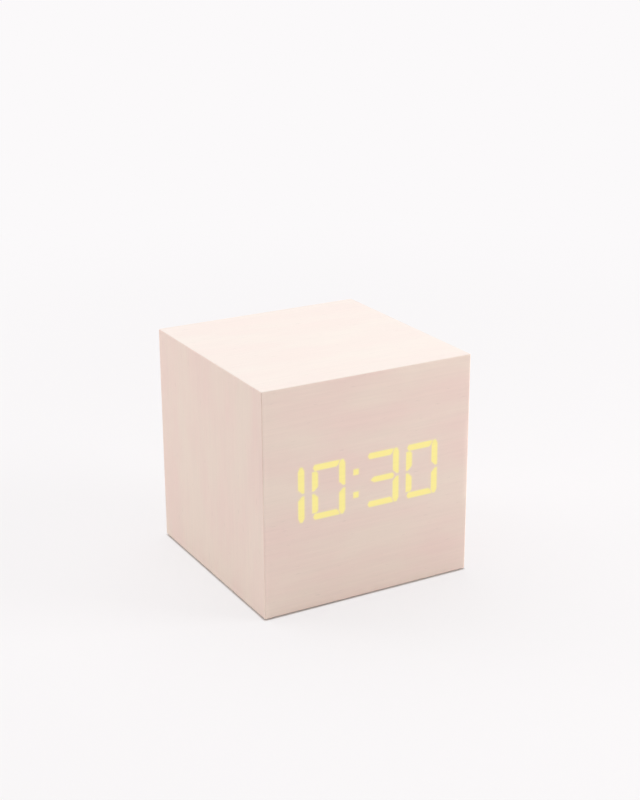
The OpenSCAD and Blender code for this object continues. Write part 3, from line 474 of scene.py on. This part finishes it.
# %% [markdown]
# ## Cutting tools
# Holes are cut with Booleans. A cutter is a loft: a stack of rings joined by faces and closed at
# both ends. The helpers below make a loft, apply modifiers to a plain mesh, and cut one mesh with
# another. Helper objects are removed when they have done their work.

# %% Helpers for cutting
def loft(rings):
    """A closed shape through rings that have the same number of points."""
    shape = bmesh.new()
    rows = [[shape.verts.new(point) for point in ring] for ring in rings]
    for low, high in zip(rows, rows[1:]):
        for i in range(len(low)):
            j = (i + 1) % len(low)
            shape.faces.new((low[i], low[j], high[j], high[i]))
    shape.faces.new(rows[0])
    shape.faces.new(rows[-1])
    return shape


def helper(name, mesh):
    """An object that only helps to make a mesh."""
    made = bpy.data.objects.new(name, mesh)
    bpy.context.scene.collection.objects.link(made)
    return made


def plain_copy(holder, *helpers):
    """The holder's mesh with its modifiers applied. The holder and its helpers are removed."""
    bpy.context.view_layer.update()
    mesh = bpy.data.meshes.new_from_object(holder.evaluated_get(bpy.context.evaluated_depsgraph_get()))
    for used in (holder, *helpers):
        bpy.data.objects.remove(used)
    mesh.shade_smooth()
    mesh.set_sharp_from_angle(angle=SHARP_ANGLE)
    return mesh


def cut_mesh(mesh, cutter):
    """A mesh less a cutter, by an exact Boolean."""
    holder = helper("whole", mesh)
    tool = helper("cutter", cutter)
    boolean = holder.modifiers.new("cut", "BOOLEAN")
    boolean.object = tool
    boolean.solver = "EXACT"
    return plain_copy(holder, tool)


print("helpers:", [made.__name__ for made in (loft, helper, plain_copy, cut_mesh)])

# %% [markdown]
# ## Battery opening
# The base has an opening for the battery door. A router would cut it and a touch of sandpaper
# would break its edge. The cutter is a box with a flared foot, so one cut does both.

# %% Battery opening
RIM = 0.3 * MM
OVER = 1 * MM
BAY_HALF = 23.25 * MM
BAY_FRONT = -19.25 * MM
BAY_REAR = 17.15 * MM


def bay_ring(z, wider):
    """The opening's outline at a height, made wider by some amount."""
    x, y0, y1 = BAY_HALF + wider, BAY_FRONT - wider, BAY_REAR + wider
    return [(-x, y0, z), (x, y0, z), (x, y1, z), (-x, y1, z)]


bay_rings = [bay_ring(-OVER, RIM + OVER), bay_ring(RIM, 0), bay_ring(BOARD + OVER, 0)]
bay_cutter = to_mesh(loft(bay_rings), "bay_cutter", film_level, fibreboard)
for polygon in bay_cutter.polygons:
    polygon.material_index = 1
base = panels["base_panel"]
base.data = cut_mesh(base.data, bay_cutter)
print("base_panel has", len(base.data.polygons), "faces with its opening")

# %% [markdown]
# ## Time that shines through the film
# On the real clock small LEDs shine up tapered cells, through slots in the board and through the
# film. The film scatters the light a little, so a lit segment has a soft edge and a weak halo.
# Here the front sheet carries a fine grid of points, and each point stores how much light reaches
# it. A ray cast from every point finds the segments of the CAD model. A blur softens the result.

# %% Light on the front sheet
GRID = 0.16 * MM
FINE = 2
LIT_HALF = 23.04 * MM
LIT_LOW = 20.48 * MM
LIT_HIGH = 42.24 * MM
EDGE_BLUR = 0.13 * MM
HALO_BLUR = 0.7 * MM
HALO_SHARE = 0.1
LIGHT_CURVE = 1.35
BLUR_REACH = 3


def blurred(values, sigma, step):
    """A Gaussian blur along both axes of an array."""
    reach = int(math.ceil(BLUR_REACH * sigma / step))
    kernel = np.exp(-0.5 * (np.arange(-reach, reach + 1) * step / sigma) ** 2)
    kernel /= kernel.sum()
    for axis in (0, 1):
        values = np.apply_along_axis(np.convolve, axis, values, kernel, "same")
    return values


segments = nodes["lit_segments"].data
target = BVHTree.FromPolygons([v.co for v in segments.vertices], [p.vertices[:] for p in segments.polygons])
fine_x = np.arange(-LIT_HALF, LIT_HALF + GRID / 2, GRID / FINE)
fine_z = np.arange(LIT_LOW, LIT_HIGH + GRID / 2, GRID / FINE)
forward = Vector((0, 1, 0))
hits = np.array([[target.ray_cast((x, -CASE_HALF - MM, z), forward)[0] is not None for z in fine_z]
                 for x in fine_x], float)
light = blurred(hits, EDGE_BLUR, GRID / FINE) + HALO_SHARE * blurred(hits, HALO_BLUR, GRID / FINE)
light = np.clip(light, 0, 1)[::FINE, ::FINE] ** LIGHT_CURVE
print("rays cast:", hits.size, "share that hit a segment:", round(float(hits.mean()), 3))

# %% [markdown]
# ## Front sheet
# The sheet is that grid, with wider steps outside the lit part, where nothing changes. Each
# column of points is joined to the next by four-sided faces.

# %% Points of the front sheet
SHEET = 0.5 * MM
WIDE = 1.6 * MM

flat = CASE_HALF - EASE
low, high = EASE, 2 * CASE_HALF - EASE


def steps(start, end):
    """Evenly spaced places, about a wide step apart, without the last one."""
    return np.linspace(start, end, int(abs(end - start) / WIDE) + 2)[:-1]


xs = np.concatenate([steps(-flat, -LIT_HALF), fine_x[::FINE], steps(flat, LIT_HALF)[::-1]])
zs = np.concatenate([steps(low, LIT_LOW), fine_z[::FINE], steps(high, LIT_HIGH)[::-1]])
first_x = int(np.argmin(abs(xs + LIT_HALF)))
first_z = int(np.argmin(abs(zs - LIT_LOW)))
glow_map = np.zeros((len(xs), len(zs)))
glow_map[first_x:first_x + light.shape[0], first_z:first_z + light.shape[1]] = light

rows = len(zs)
last = len(xs) - 1
points = [(x, -CASE_HALF, z) for x in xs.tolist() for z in zs.tolist()]
faces = [(i * rows + j, (i + 1) * rows + j, (i + 1) * rows + j + 1, i * rows + j + 1)
         for i in range(last) for j in range(rows - 1)]
print("points of the sheet:", len(points))

# %% [markdown]
# Rings of points round the sheet's rim carry the eased edge back to the mitre. The joint on the
# left is glued a hair open towards the top, as on the real block: its last rings stand back by a
# few hundredths of a millimetre there, and a dark hairline shows.

# %% Eased rim of the front sheet
SEAM = 0.03 * MM
SEAM_FOOT = 26 * MM
SEAM_FULL = 46 * MM

rim = [i * rows for i in range(last)] + [last * rows + j for j in range(rows - 1)]
rim += [i * rows + rows - 1 for i in range(last, 0, -1)] + [j for j in range(rows - 1, 0, -1)]


def rim_ring(out, depth, seam):
    """The rim's points moved outwards and back. The left side stands back by the seam."""
    ring = []
    for index in rim:
        x, _, z = points[index]
        open_share = min(max((z - SEAM_FOOT) / (SEAM_FULL - SEAM_FOOT), 0), 1)
        side_x = (x >= flat) - (x <= -flat)
        side_z = (z >= high) - (z <= low)
        stand = seam * open_share if side_x < 0 else 0
        ring.append((x + side_x * out + stand, depth - CASE_HALF, z + side_z * out))
    return ring


turns = [math.radians(90 * k / EASE_STEPS) for k in range(1, EASE_STEPS // 2 + 1)]
rings = [rim_ring(EASE * math.sin(t), EASE * (1 - math.cos(t)), SEAM if t == turns[-1] else 0) for t in turns]
rings.append(rim_ring(EASE - SHEET, SHEET, SEAM))
previous = rim
for ring in rings:
    current = list(range(len(points), len(points) + len(ring)))
    points += ring
    for i in range(len(ring)):
        j = (i + 1) % len(ring)
        faces.append((previous[i], current[i], current[j], previous[j]))
    previous = current
faces.append(tuple(previous))
print("points with the rim:", len(points))

# %% [markdown]
# The film over a lit segment shows two things at once: the lamp's yellow light coming through,
# and less of the room's light, because what goes in is lost down the slot. So the stored light
# drives the emission, and also takes the film's colour towards a darker, dull yellow: the
# darkening is the lost room light, and the yellow is painted light of the LEDs behind. The
# streaks let a little more or less light through, which ties the digits to the grain.

# %% Film with the light behind it
# Film colour over a lit segment: darker for the room's light lost down the slot, and painted yellow, painted
# light of the LEDs behind
LIT_FILM_WITH_PAINTED_GLOW = "#aa9c47"
LIT_COLOUR = "#fff4b1"
LIT_STRENGTH = 0.56
GRAIN_SHADE = 0.07

film_front, tree, shader, wood, streak = wood_film("film_lit_from_behind", "X", FILM_CREAM, FILM_PINK, 5)
light_in = add(tree, "ShaderNodeAttribute", attribute_name="glow").outputs["Fac"]
# Where light comes through, the film's colour is mixed towards that darker, painted yellow
shade = add(tree, "ShaderNodeMix", {0: light_in, 6: wood.outputs[0], 7: linear(LIT_FILM_WITH_PAINTED_GLOW)}, data_type="RGBA")
through = add(tree, "ShaderNodeMapRange", {"Value": streak.outputs[0],
                                           "To Min": LIT_STRENGTH * (1 - GRAIN_SHADE),
                                           "To Max": LIT_STRENGTH * (1 + GRAIN_SHADE)})
power = add(tree, "ShaderNodeMath", {0: light_in, 1: through.outputs[0]}, operation="MULTIPLY")
shader.inputs["Emission Color"].default_value = linear(LIT_COLOUR)
tree.links.new(shade.outputs[2], shader.inputs["Base Color"])
tree.links.new(power.outputs[0], shader.inputs["Emission Strength"])

sheet_mesh = bpy.data.meshes.new("front_grid")
sheet_mesh.from_pydata(points, [], faces)
glow_values = np.zeros(len(points), np.float32)
glow_values[:glow_map.size] = glow_map.ravel()
sheet_mesh.attributes.new("glow", "FLOAT", "POINT").data.foreach_set("value", glow_values)
sheet_shape = bmesh.new()
sheet_shape.from_mesh(sheet_mesh)
show("front_sheet", to_mesh(sheet_shape, "front_sheet", film_front), "case", "pale_wood",
     "front_veneer", "lit_segments")

# %% [markdown]
# ## Plastics, metals and inner pieces
# Most other pieces are moulded, plated or dipped. A moulding takes the fine eroded texture of its
# tool, and plating shows faint drawn marks. So all of these are a colour that wavers a little, a
# gloss that wavers with it and a small bump. One function makes them, from the size of the marks
# and their depth in millimetres. The CAD pieces that stay as they are get their finish here too.

# %% Finishes for small pieces
MARK_DETAIL = 3
MARK_SHARE = 0.3


def marked_finish(name, dark, pale, mark, gloss, depth, metal=0.0):
    """A surface with marks of a size in mm, between two colours and two roughnesses."""
    material, tree, shader = new_finish(name, {"Metallic": metal})
    place = add(tree, "ShaderNodeTexCoord").outputs["Object"]
    noise = add(tree, "ShaderNodeTexNoise", {"Vector": place, "Scale": 1 / (mark * MM),
                                             "Detail": MARK_DETAIL})
    marks = noise.outputs[0]
    colour = add(tree, "ShaderNodeMix", {0: marks, 6: linear(dark), 7: linear(pale)}, data_type="RGBA")
    rough = add(tree, "ShaderNodeMapRange", {"Value": marks, "To Min": gloss[0], "To Max": gloss[1]})
    relief = add(tree, "ShaderNodeBump", {"Height": marks, "Strength": MARK_SHARE, "Distance": depth * MM})
    tree.links.new(colour.outputs[2], shader.inputs["Base Color"])
    tree.links.new(rough.outputs[0], shader.inputs["Roughness"])
    tree.links.new(relief.outputs[0], shader.inputs["Normal"])
    return material


FINISHES = {
    "fibreboard": fibreboard,
    # Mouldings: half-matt, with a texture that takes the hardness off their highlights
    "white_plastic": marked_finish("moulded_white_abs", "#e6e3db", "#efede6", 0.3, (0.4, 0.55), 0.02),
    "chip_black": marked_finish("moulded_black_epoxy", "#191a1b", "#262729", 0.15, (0.55, 0.75), 0.02),
    "black_plastic": marked_finish("spark_textured_black_abs", "#1b1b1d", "#28282a", 0.12, (0.5, 0.7), 0.03),
    "button_black": marked_finish("satin_black_abs", "#161617", "#202022", 0.2, (0.35, 0.5), 0.01),
    # Films, boards and insulation: smoother, with slow changes of tone
    "white_film": marked_finish("milky_polyester_film", "#eceae4", "#f6f5f1", 2.0, (0.35, 0.5), 0.01),
    "ribbon_film": marked_finish("flat_cable_polyester", "#d3d1cb", "#dfddd8", 0.6, (0.35, 0.5), 0.01),
    "circuit_board": marked_finish("green_solder_mask", "#12401f", "#1d5a2c", 1.2, (0.3, 0.45), 0.03),
    "red_wire": marked_finish("red_pvc_insulation", "#a8201a", "#bd3027", 0.5, (0.35, 0.5), 0.01),
    "black_wire": marked_finish("black_pvc_insulation", "#1c1c1e", "#29292b", 0.5, (0.35, 0.5), 0.01),
    # Resin: poured or dipped, so it is glossy and even
    "led_lens": marked_finish("cast_yellow_resin", "#dcae35", "#f0c854", 0.6, (0.12, 0.22), 0.01),
    "bead_brown": marked_finish("dipped_epoxy_bead", "#6b3a22", "#84492c", 0.8, (0.2, 0.3), 0.01),
    # Metals: bright plate with drawn marks, and dark oxide that dulls the steel under it
    "zinc_steel": marked_finish("bright_zinc_plate", "#b9bcc0", "#d3d5d6", 0.5, (0.25, 0.4), 0.01, 1.0),
    "can_metal": marked_finish("drawn_nickel_can", "#c2c4c6", "#d8d9da", 0.4, (0.22, 0.36), 0.01, 1.0),
    "black_screw": marked_finish("black_oxide_steel", "#242425", "#37373a", 0.25, (0.35, 0.55), 0.01, 0.6),
    "cell_jacket": marked_finish("printed_steel_jacket", "#2d4a43", "#3b5d54", 1.5, (0.25, 0.4), 0.01, 0.4),
}
slot_of = {part["node"]: part["material_slot"] for part in frame["record"]["subparts"]}
for node, shown in nodes.items():
    if slot_of[node] in FINISHES:
        shown.data.materials.clear()
        shown.data.materials.append(FINISHES[slot_of[node]])
print("finishes:", len(FINISHES))

# %% [markdown]
# ## Rear cover
# The back is a film-covered board, let in behind the rear edge and held by four screws. It is
# drilled for three buttons, for the sounder, the microphone and the air to the thermometer, and
# has a way for the power plug. The places of its holes come from the pieces behind them.

# %% Places of the holes
VENT_R = 0.6 * MM
VENT_STEP = 2.4 * MM
BUTTON_HOLE_R = 2.55 * MM
SCREW_HOLE_R = 1.15 * MM
SCREW_OUT = 22.75 * MM


def centre(node):
    """The middle of a CAD node's box."""
    lo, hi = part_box(node)
    return (lo + hi) / 2


sound, voice, air = centre("buzzer"), centre("microphone"), centre("thermistor")
sixths = [k * math.pi / 3 for k in range(6)]
vents = [(sound.x, sound.z), (voice.x, voice.z)]
vents += [(air.x + k * VENT_STEP, air.z) for k in (-1, 0, 1)]
vents += [(sound.x + VENT_STEP * math.cos(t), sound.z + VENT_STEP * math.sin(t)) for t in sixths]
buttons = {"set_button": "set_press", "up_button": "up_press", "down_button": "down_press"}
button_holes = [(centre(node).x, centre(node).z) for node in buttons]
screw_places = [(x * SCREW_OUT, CASE_HALF + z * SCREW_OUT) for x in (-1, 1) for z in (-1, 1)]
holes = [(place, VENT_R) for place in vents] + [(place, BUTTON_HOLE_R) for place in button_holes]
holes += [(place, SCREW_HOLE_R) for place in screw_places]
print("holes to drill:", len(holes))

# %% [markdown]
# ## Geometry Nodes
# Things that repeat are made by Geometry Nodes on an object of loose points, where each point can
# carry values such as a radius or an angle. The helpers below make such points, start a tree with
# named inputs, and put a tree on an object with its inputs set.

# %% Helpers for Geometry Nodes
def points_with(name, places, **values):
    """An object of loose points, each with values of its own."""
    mesh = bpy.data.meshes.new(name)
    mesh.from_pydata(places, [], [])
    for key, numbers in values.items():
        mesh.attributes.new(key, "FLOAT", "POINT").data.foreach_set("value", numbers)
    return helper(name, mesh)


def new_tree(name, **sockets):
    """A Geometry Nodes tree with named inputs, its input sockets and its output sockets."""
    tree = bpy.data.node_groups.new(name, "GeometryNodeTree")
    tree.interface.new_socket("Geometry", in_out="INPUT", socket_type="NodeSocketGeometry")
    for key, kind in sockets.items():
        tree.interface.new_socket(key, in_out="INPUT", socket_type="NodeSocket" + kind)
    tree.interface.new_socket("Geometry", in_out="OUTPUT", socket_type="NodeSocketGeometry")
    return tree, add(tree, "NodeGroupInput").outputs, add(tree, "NodeGroupOutput").inputs


def grow(holder, tree, **settings):
    """Puts a tree on an object and sets its named inputs."""
    modifier = holder.modifiers.new("grow", "NODES")
    modifier.node_group = tree
    for item in tree.interface.items_tree:
        if item.in_out == "INPUT" and item.name in settings:
            modifier[item.identifier] = settings[item.name]


print("helpers:", [made.__name__ for made in (points_with, new_tree, grow)])

# %% [markdown]
# This tree drills a board. A cylinder and a cone stand on every point, scaled by the radius that
# the point carries: the cylinder is the drill, and the cone breaks the hole's edge as a
# countersink does. One Boolean takes them all away, together with a cutter for the plug's way.
# The cut faces are bare board, and the outer faces get the film back.

# %% Tree that drills a board
ROUND_STEPS = 48

drill, given, result = new_tree("drilled_board", Holes="Object", Slot="Object", Length="Float", Break="Float",
                                Skin="Material", Core="Material")
radius = add(drill, "GeometryNodeInputNamedAttribute", {"Name": "hole_r"}, data_type="FLOAT").outputs[0]
wider = add(drill, "ShaderNodeMath", {0: radius, 1: given["Break"]}, operation="ADD").outputs[0]
bore_size = add(drill, "ShaderNodeCombineXYZ", {0: radius, 1: radius, 2: given["Length"]}).outputs[0]
cone_size = add(drill, "ShaderNodeCombineXYZ", {0: wider, 1: wider, 2: wider}).outputs[0]
bore = add(drill, "GeometryNodeMeshCylinder", {"Vertices": ROUND_STEPS, "Radius": 1.0, "Depth": 1.0})
cone = add(drill, "GeometryNodeMeshCone", {"Vertices": ROUND_STEPS, "Radius Top": 0.0, "Radius Bottom": 1.0,
                                           "Depth": 1.0})
spots = add(drill, "GeometryNodeObjectInfo", {"Object": given["Holes"]}).outputs["Geometry"]
slot_cut = add(drill, "GeometryNodeObjectInfo", {"Object": given["Slot"]}).outputs["Geometry"]
into = (math.pi / 2, 0, 0)
tools = add(drill, "GeometryNodeJoinGeometry")
for tool, size in ((bore, bore_size), (cone, cone_size)):
    stood = add(drill, "GeometryNodeInstanceOnPoints", {"Points": spots, "Instance": tool.outputs["Mesh"],
                                                        "Rotation": into, "Scale": size})
    drill.links.new(stood.outputs[0], tools.inputs[0])
drill.links.new(slot_cut, tools.inputs[0])
raw = add(drill, "GeometryNodeSetMaterial", {"Geometry": tools.outputs[0], "Material": given["Core"]})
cut = add(drill, "GeometryNodeMeshBoolean", {"Mesh 1": given["Geometry"], "Mesh 2": raw.outputs[0]},
          operation="DIFFERENCE", solver="EXACT")
whole = add(drill, "GeometryNodeRealizeInstances", {"Geometry": cut.outputs["Mesh"]})
skin = add(drill, "GeometryNodeInputNamedAttribute", {"Name": "skin"}, data_type="BOOLEAN").outputs[0]
covered = add(drill, "GeometryNodeSetMaterial", {"Geometry": whole.outputs[0], "Selection": skin,
                                                 "Material": given["Skin"]})
drill.links.new(covered.outputs[0], result[0])
print("nodes of the drilling tree:", len(drill.nodes))

# %% [markdown]
# The cover itself is a loft with eased outer edges. Every face but the inner one carries film.
# The way for the plug has round corners, because a router bit is round.

# %% Rear cover
PANEL_EASE = 0.35 * MM
EASE_TURN = 0.3
PLUG_HALF_X = 6.2 * MM
PLUG_HALF_Z = 4.5 * MM
PLUG_ROUND = 2 * MM
CORNER_STEPS = 8
HOLE_BREAK = 0.22 * MM
DRILL_OUT = 0.02 * MM
DRILL_LENGTHS = 4
INWARD = -0.5


def rounded_ring(half_x, half_z, radius, middle, y):
    """A rounded rectangle of points round a middle, at a place along Y."""
    ring = []
    for corner, (sx, sz) in enumerate(((1, 1), (-1, 1), (-1, -1), (1, -1))):
        for k in range(CORNER_STEPS + 1):
            turn = math.pi / 2 * (corner + k / CORNER_STEPS)
            ring.append((middle.x + sx * (half_x - radius) + radius * math.cos(turn), y,
                         middle.z + sz * (half_z - radius) + radius * math.sin(turn)))
    return ring


panel_lo, panel_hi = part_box("rear_panel")
half = (panel_hi - panel_lo) / 2
eased = [(panel_lo.y, 0), (panel_hi.y - PANEL_EASE, 0),
         (panel_hi.y - EASE_TURN * PANEL_EASE, EASE_TURN * PANEL_EASE), (panel_hi.y, PANEL_EASE)]
panel_rings = [rounded_ring(half.x - inset, half.z - inset, 2 * PANEL_EASE - inset, centre("rear_panel"), y)
               for y, inset in eased]
panel_mesh = to_mesh(loft(panel_rings), "rear_cover", fibreboard)
filmed = [polygon.normal.y > INWARD for polygon in panel_mesh.polygons]
panel_mesh.attributes.new("skin", "BOOLEAN", "FACE").data.foreach_set("value", filmed)

flare = [(panel_lo.y - OVER, 0), (panel_hi.y - HOLE_BREAK, 0), (panel_hi.y + OVER, HOLE_BREAK + OVER)]
plug_rings = [rounded_ring(PLUG_HALF_X + more, PLUG_HALF_Z + more, PLUG_ROUND + more, centre("usb_shell"), y)
              for y, more in flare]
slot_tool = helper("slot_tool", to_mesh(loft(plug_rings), "slot_tool", fibreboard))
hole_places = [(x, panel_hi.y + DRILL_OUT, z) for (x, z), _ in holes]
hole_points = points_with("hole_points", hole_places, hole_r=[r for _, r in holes])
cover_holder = helper("cover_holder", panel_mesh)
grow(cover_holder, drill, Holes=hole_points, Slot=slot_tool, Break=HOLE_BREAK, Skin=film_rear,
     Core=fibreboard, Length=DRILL_LENGTHS * (panel_hi.y - panel_lo.y))
show("rear_cover", plain_copy(cover_holder, hole_points, slot_tool), "case", "pale_wood", "rear_panel")

# %% [markdown]
# ## Copies
# This tree sets out copies of a model, one on each point. A point's own turn and a seeded random
# turn add up to the copy's angle. The screws, the socket's contacts and the cells all use it.
# Random Value has sockets for several kinds of value: its highest float goes in at 3, and the
# float that it draws comes out at 1.

# %% Tree that sets out copies
layout, given, result = new_tree("set_out_copies", Copy="Object", Axis="Vector", Loose="Float", Seed="Int",
                                 Finish="Material")
turn = add(layout, "GeometryNodeInputNamedAttribute", {"Name": "turn"}, data_type="FLOAT").outputs[0]
chance = add(layout, "FunctionNodeRandomValue", {3: given["Loose"], "Seed": given["Seed"]}, data_type="FLOAT")
angle = add(layout, "ShaderNodeMath", {0: turn, 1: chance.outputs[1]}, operation="ADD").outputs[0]
spin = add(layout, "FunctionNodeAxisAngleToRotation", {"Axis": given["Axis"], "Angle": angle}).outputs[0]
model = add(layout, "GeometryNodeObjectInfo", {"Object": given["Copy"]}).outputs["Geometry"]
stood = add(layout, "GeometryNodeInstanceOnPoints", {"Points": given["Geometry"], "Instance": model,
                                                     "Rotation": spin})
single = add(layout, "GeometryNodeRealizeInstances", {"Geometry": stood.outputs[0]})
dressed = add(layout, "GeometryNodeSetMaterial", {"Geometry": single.outputs[0], "Material": given["Finish"]})
layout.links.new(dressed.outputs[0], result[0])
print("nodes of the copying tree:", len(layout.nodes))

# %% [markdown]
# ## Rear screws
# Four pan-head screws with a cross recess hold the cover. A screw is turned on a lathe, so its
# profile is swept round its axis. Two crossed wedges cut the recess, narrower at the bottom like
# the punch that makes it. Each screw is left at its own angle, as a hand leaves them.

# %% Rear screws
HEAD_R = 1.9 * MM
HEAD_H = 1.2 * MM
HEAD_FLAT = 0.475 * MM
DOME_FROM = math.radians(30)
DOME_STEPS = 11
SHANK_R = 0.95 * MM
RECESS_REACH = 1.15 * MM
RECESS_HALF = 0.26 * MM
RECESS_DEPTH = 0.75 * MM
RECESS_TAPER = 0.55
QUARTER = math.pi / 2


def lathe(profile, axis, place=(0, 0, 0)):
    """A profile of (distance along the axis, radius) swept round an axis through a place."""
    along = Vector([axis == name for name in "XYZ"])
    first = Vector([axis == name for name in "YZX"])
    second = along.cross(first)
    turns = [2 * math.pi * k / ROUND_STEPS for k in range(ROUND_STEPS)]
    return loft([[Vector(place) + along * run + (first * math.cos(t) + second * math.sin(t)) * radius
                  for t in turns] for run, radius in profile])


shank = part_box("rear_screws")[0].y - panel_hi.y
dome = [(HEAD_H * math.sin(t), HEAD_R - (HEAD_R - HEAD_FLAT) * (1 - math.cos(t)))
        for t in np.linspace(DOME_FROM, QUARTER, DOME_STEPS).tolist()]
profile = [(shank, SHANK_R), (0, SHANK_R), (0, HEAD_R)] + dome
screw_mesh = to_mesh(lathe(profile, "Y"), "screw")
for long, thin in ((RECESS_REACH, RECESS_HALF), (RECESS_HALF, RECESS_REACH)):
    recess_rings = [[(sx * long * share, y, sz * thin * share) for sx, sz in SQUARE]
                    for y, share in ((HEAD_H - RECESS_DEPTH, RECESS_TAPER), (HEAD_H + OVER, 1.0))]
    screw_mesh = cut_mesh(screw_mesh, to_mesh(loft(recess_rings), "recess"))
screw_model = helper("screw_model", screw_mesh)
screw_points = points_with("screw_points", [(x, panel_hi.y, z) for x, z in screw_places])
grow(screw_points, layout, Copy=screw_model, Axis=(0, 1, 0), Loose=QUARTER, Seed=7,
     Finish=FINISHES["black_screw"])
show("cover_screws", plain_copy(screw_points, screw_model), "case", "black_screw", "rear_screws")

# %% [markdown]
# ## Buttons
# Three small caps stand a little proud of the cover. Each is a round moulding with a flange that
# keeps it in, a rounded end and a shallow dish for the fingertip. Each rides on its own body, so
# it goes in when that body moves.

# %% Buttons
FLANGE_R = 3.2 * MM
FLANGE_GAP = 0.3 * MM
BUTTON_R = 2.3 * MM
BUTTON_EASE = 0.45 * MM
BUTTON_STEPS = 7
DISH = 0.16 * MM
DISH_SHARES = (0.9, 0.75, 0.5, 0.25, 0.02)

shoulder = panel_lo.y - FLANGE_GAP
for node, body in buttons.items():
    lo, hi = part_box(node)
    ease_arc = [(hi.y - BUTTON_EASE * (1 - math.sin(t)), BUTTON_R - BUTTON_EASE * (1 - math.cos(t)))
                for t in np.linspace(0, QUARTER, BUTTON_STEPS).tolist()]
    dish_r = BUTTON_R - BUTTON_EASE
    dish = [(hi.y - DISH * (1 - share ** 2), dish_r * share) for share in DISH_SHARES]
    profile = [(lo.y, FLANGE_R), (shoulder, FLANGE_R), (shoulder, BUTTON_R)] + ease_arc + dish
    place = (centre(node).x, 0, centre(node).z)
    cap = to_mesh(lathe(profile, "Y", place), node + "_cap", FINISHES["button_black"])
    show(node + "_cap", cap, body, "button_black", node)

# %% [markdown]
# ## Power socket
# The socket's shell and tongue come from the CAD model. Five gilt contacts lie under the tongue,
# 0.65 mm apart, which is the spacing of the standard socket.

# %% Contacts in the socket
STRIP_STEP = 0.65 * MM
STRIP_COUNT = 5
STRIP_HALF = (0.2 * MM, 1.9 * MM, 0.06 * MM)
STRIP_IN = 0.2 * MM

# Gilding is warm and bright, which picks the contacts out of the dark socket
gilt = marked_finish("gilt_contact_strip", "#c79a45", "#dcb765", 0.3, (0.2, 0.32), 0.005, 1.0)
strip_shape = bmesh.new()
bmesh.ops.create_cube(strip_shape, size=2.0, matrix=Matrix.Diagonal((*STRIP_HALF, 1)))
strip_model = helper("strip_model", to_mesh(strip_shape, "strip"))
tongue_lo, tongue_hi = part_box("usb_tongue")
strip_y = tongue_hi.y - STRIP_HALF[1] - STRIP_IN
strip_places = [((k - STRIP_COUNT // 2) * STRIP_STEP, strip_y, tongue_lo.z) for k in range(STRIP_COUNT)]
strip_points = points_with("strip_points", strip_places)
grow(strip_points, layout, Copy=strip_model, Axis=(0, 0, 1), Loose=0.0, Seed=1, Finish=gilt)
show("socket_contacts", plain_copy(strip_points, strip_model), "case", "zinc_steel")

# %% [markdown]
# ## Cells
# Three cells lie under the door, each the other way round from its neighbour. A cell is a drawn
# steel can with a nub, in a plain printed jacket that leaves both ends bare. Can and jacket are
# lathe shapes, and the copying tree lays them in their places.

# %% Cells
CELL_R = 5.25 * MM
CAN_R = 5.1 * MM
CELL_LEN = 44.5 * MM
NUB_R = 1.9 * MM
NUB_H = 0.8 * MM
NUB_EASE = 0.2 * MM
CELL_EASE = 0.4 * MM
JACKET_END = 0.6 * MM
CELL_COUNT = 3

cells_lo, cells_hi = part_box("battery_cells")
shoulder = CELL_LEN - NUB_H
can_profile = [(0, CAN_R - CELL_EASE), (CELL_EASE, CAN_R), (shoulder - CELL_EASE, CAN_R),
               (shoulder, CAN_R - CELL_EASE), (shoulder, NUB_R), (CELL_LEN - NUB_EASE, NUB_R),
               (CELL_LEN, NUB_R - NUB_EASE)]
jacket_profile = [(CELL_EASE, CAN_R), (JACKET_END, CELL_R), (shoulder - JACKET_END, CELL_R),
                  (shoulder - CELL_EASE, CAN_R)]
rows_y = np.linspace(cells_lo.y + CELL_R, cells_hi.y - CELL_R, CELL_COUNT).tolist()
flat_x = cells_hi.x - CELL_LEN
cell_places = [(flat_x if i % 2 == 0 else -flat_x, y, cells_lo.z + CELL_R) for i, y in enumerate(rows_y)]
cell_turns = [math.pi * (i % 2) for i in range(CELL_COUNT)]
for name, profile, slot, replaced in (("cell_jackets", jacket_profile, "cell_jacket", ["battery_cells"]),
                                      ("cell_cans", can_profile, "zinc_steel", [])):
    model = helper(name + "_model", to_mesh(lathe(profile, "X"), name))
    spots = points_with(name + "_points", cell_places, turn=cell_turns)
    grow(spots, layout, Copy=model, Axis=(0, 0, 1), Loose=0.0, Seed=1, Finish=FINISHES[slot])
    show(name, plain_copy(spots, model), "case", slot, *replaced)

# %% [markdown]
# ## Eased edges on the CAD mouldings
# The battery door, the tray and the socket keep their CAD meshes. A real moulding has no sharp
# edge, so three modifiers ease theirs: one welds the triangles' corners, one joins flat triangles
# into faces and one bevels the edges that are left.

# %% Eased mouldings
WELD = 0.002 * MM
FLAT_ANGLE = math.radians(1)
CORNER_ANGLE = math.radians(50)
MOULD_EASE = 0.15 * MM
SHEET_EASE = 0.05 * MM
MOULD_STEPS = 2
EASES = {"battery_door": MOULD_EASE, "battery_tray": MOULD_EASE, "usb_shell": SHEET_EASE,
         "usb_tongue": SHEET_EASE}

for node, width in EASES.items():
    weld = nodes[node].modifiers.new("weld", "WELD")
    weld.merge_threshold = WELD
    flatten = nodes[node].modifiers.new("flatten", "DECIMATE")
    flatten.decimate_type = "DISSOLVE"
    flatten.angle_limit = FLAT_ANGLE
    ease = nodes[node].modifiers.new("ease", "BEVEL")
    ease.width = width
    ease.segments = MOULD_STEPS
    ease.limit_method = "ANGLE"
    ease.angle_limit = CORNER_ANGLE
print("eased mouldings:", list(EASES))
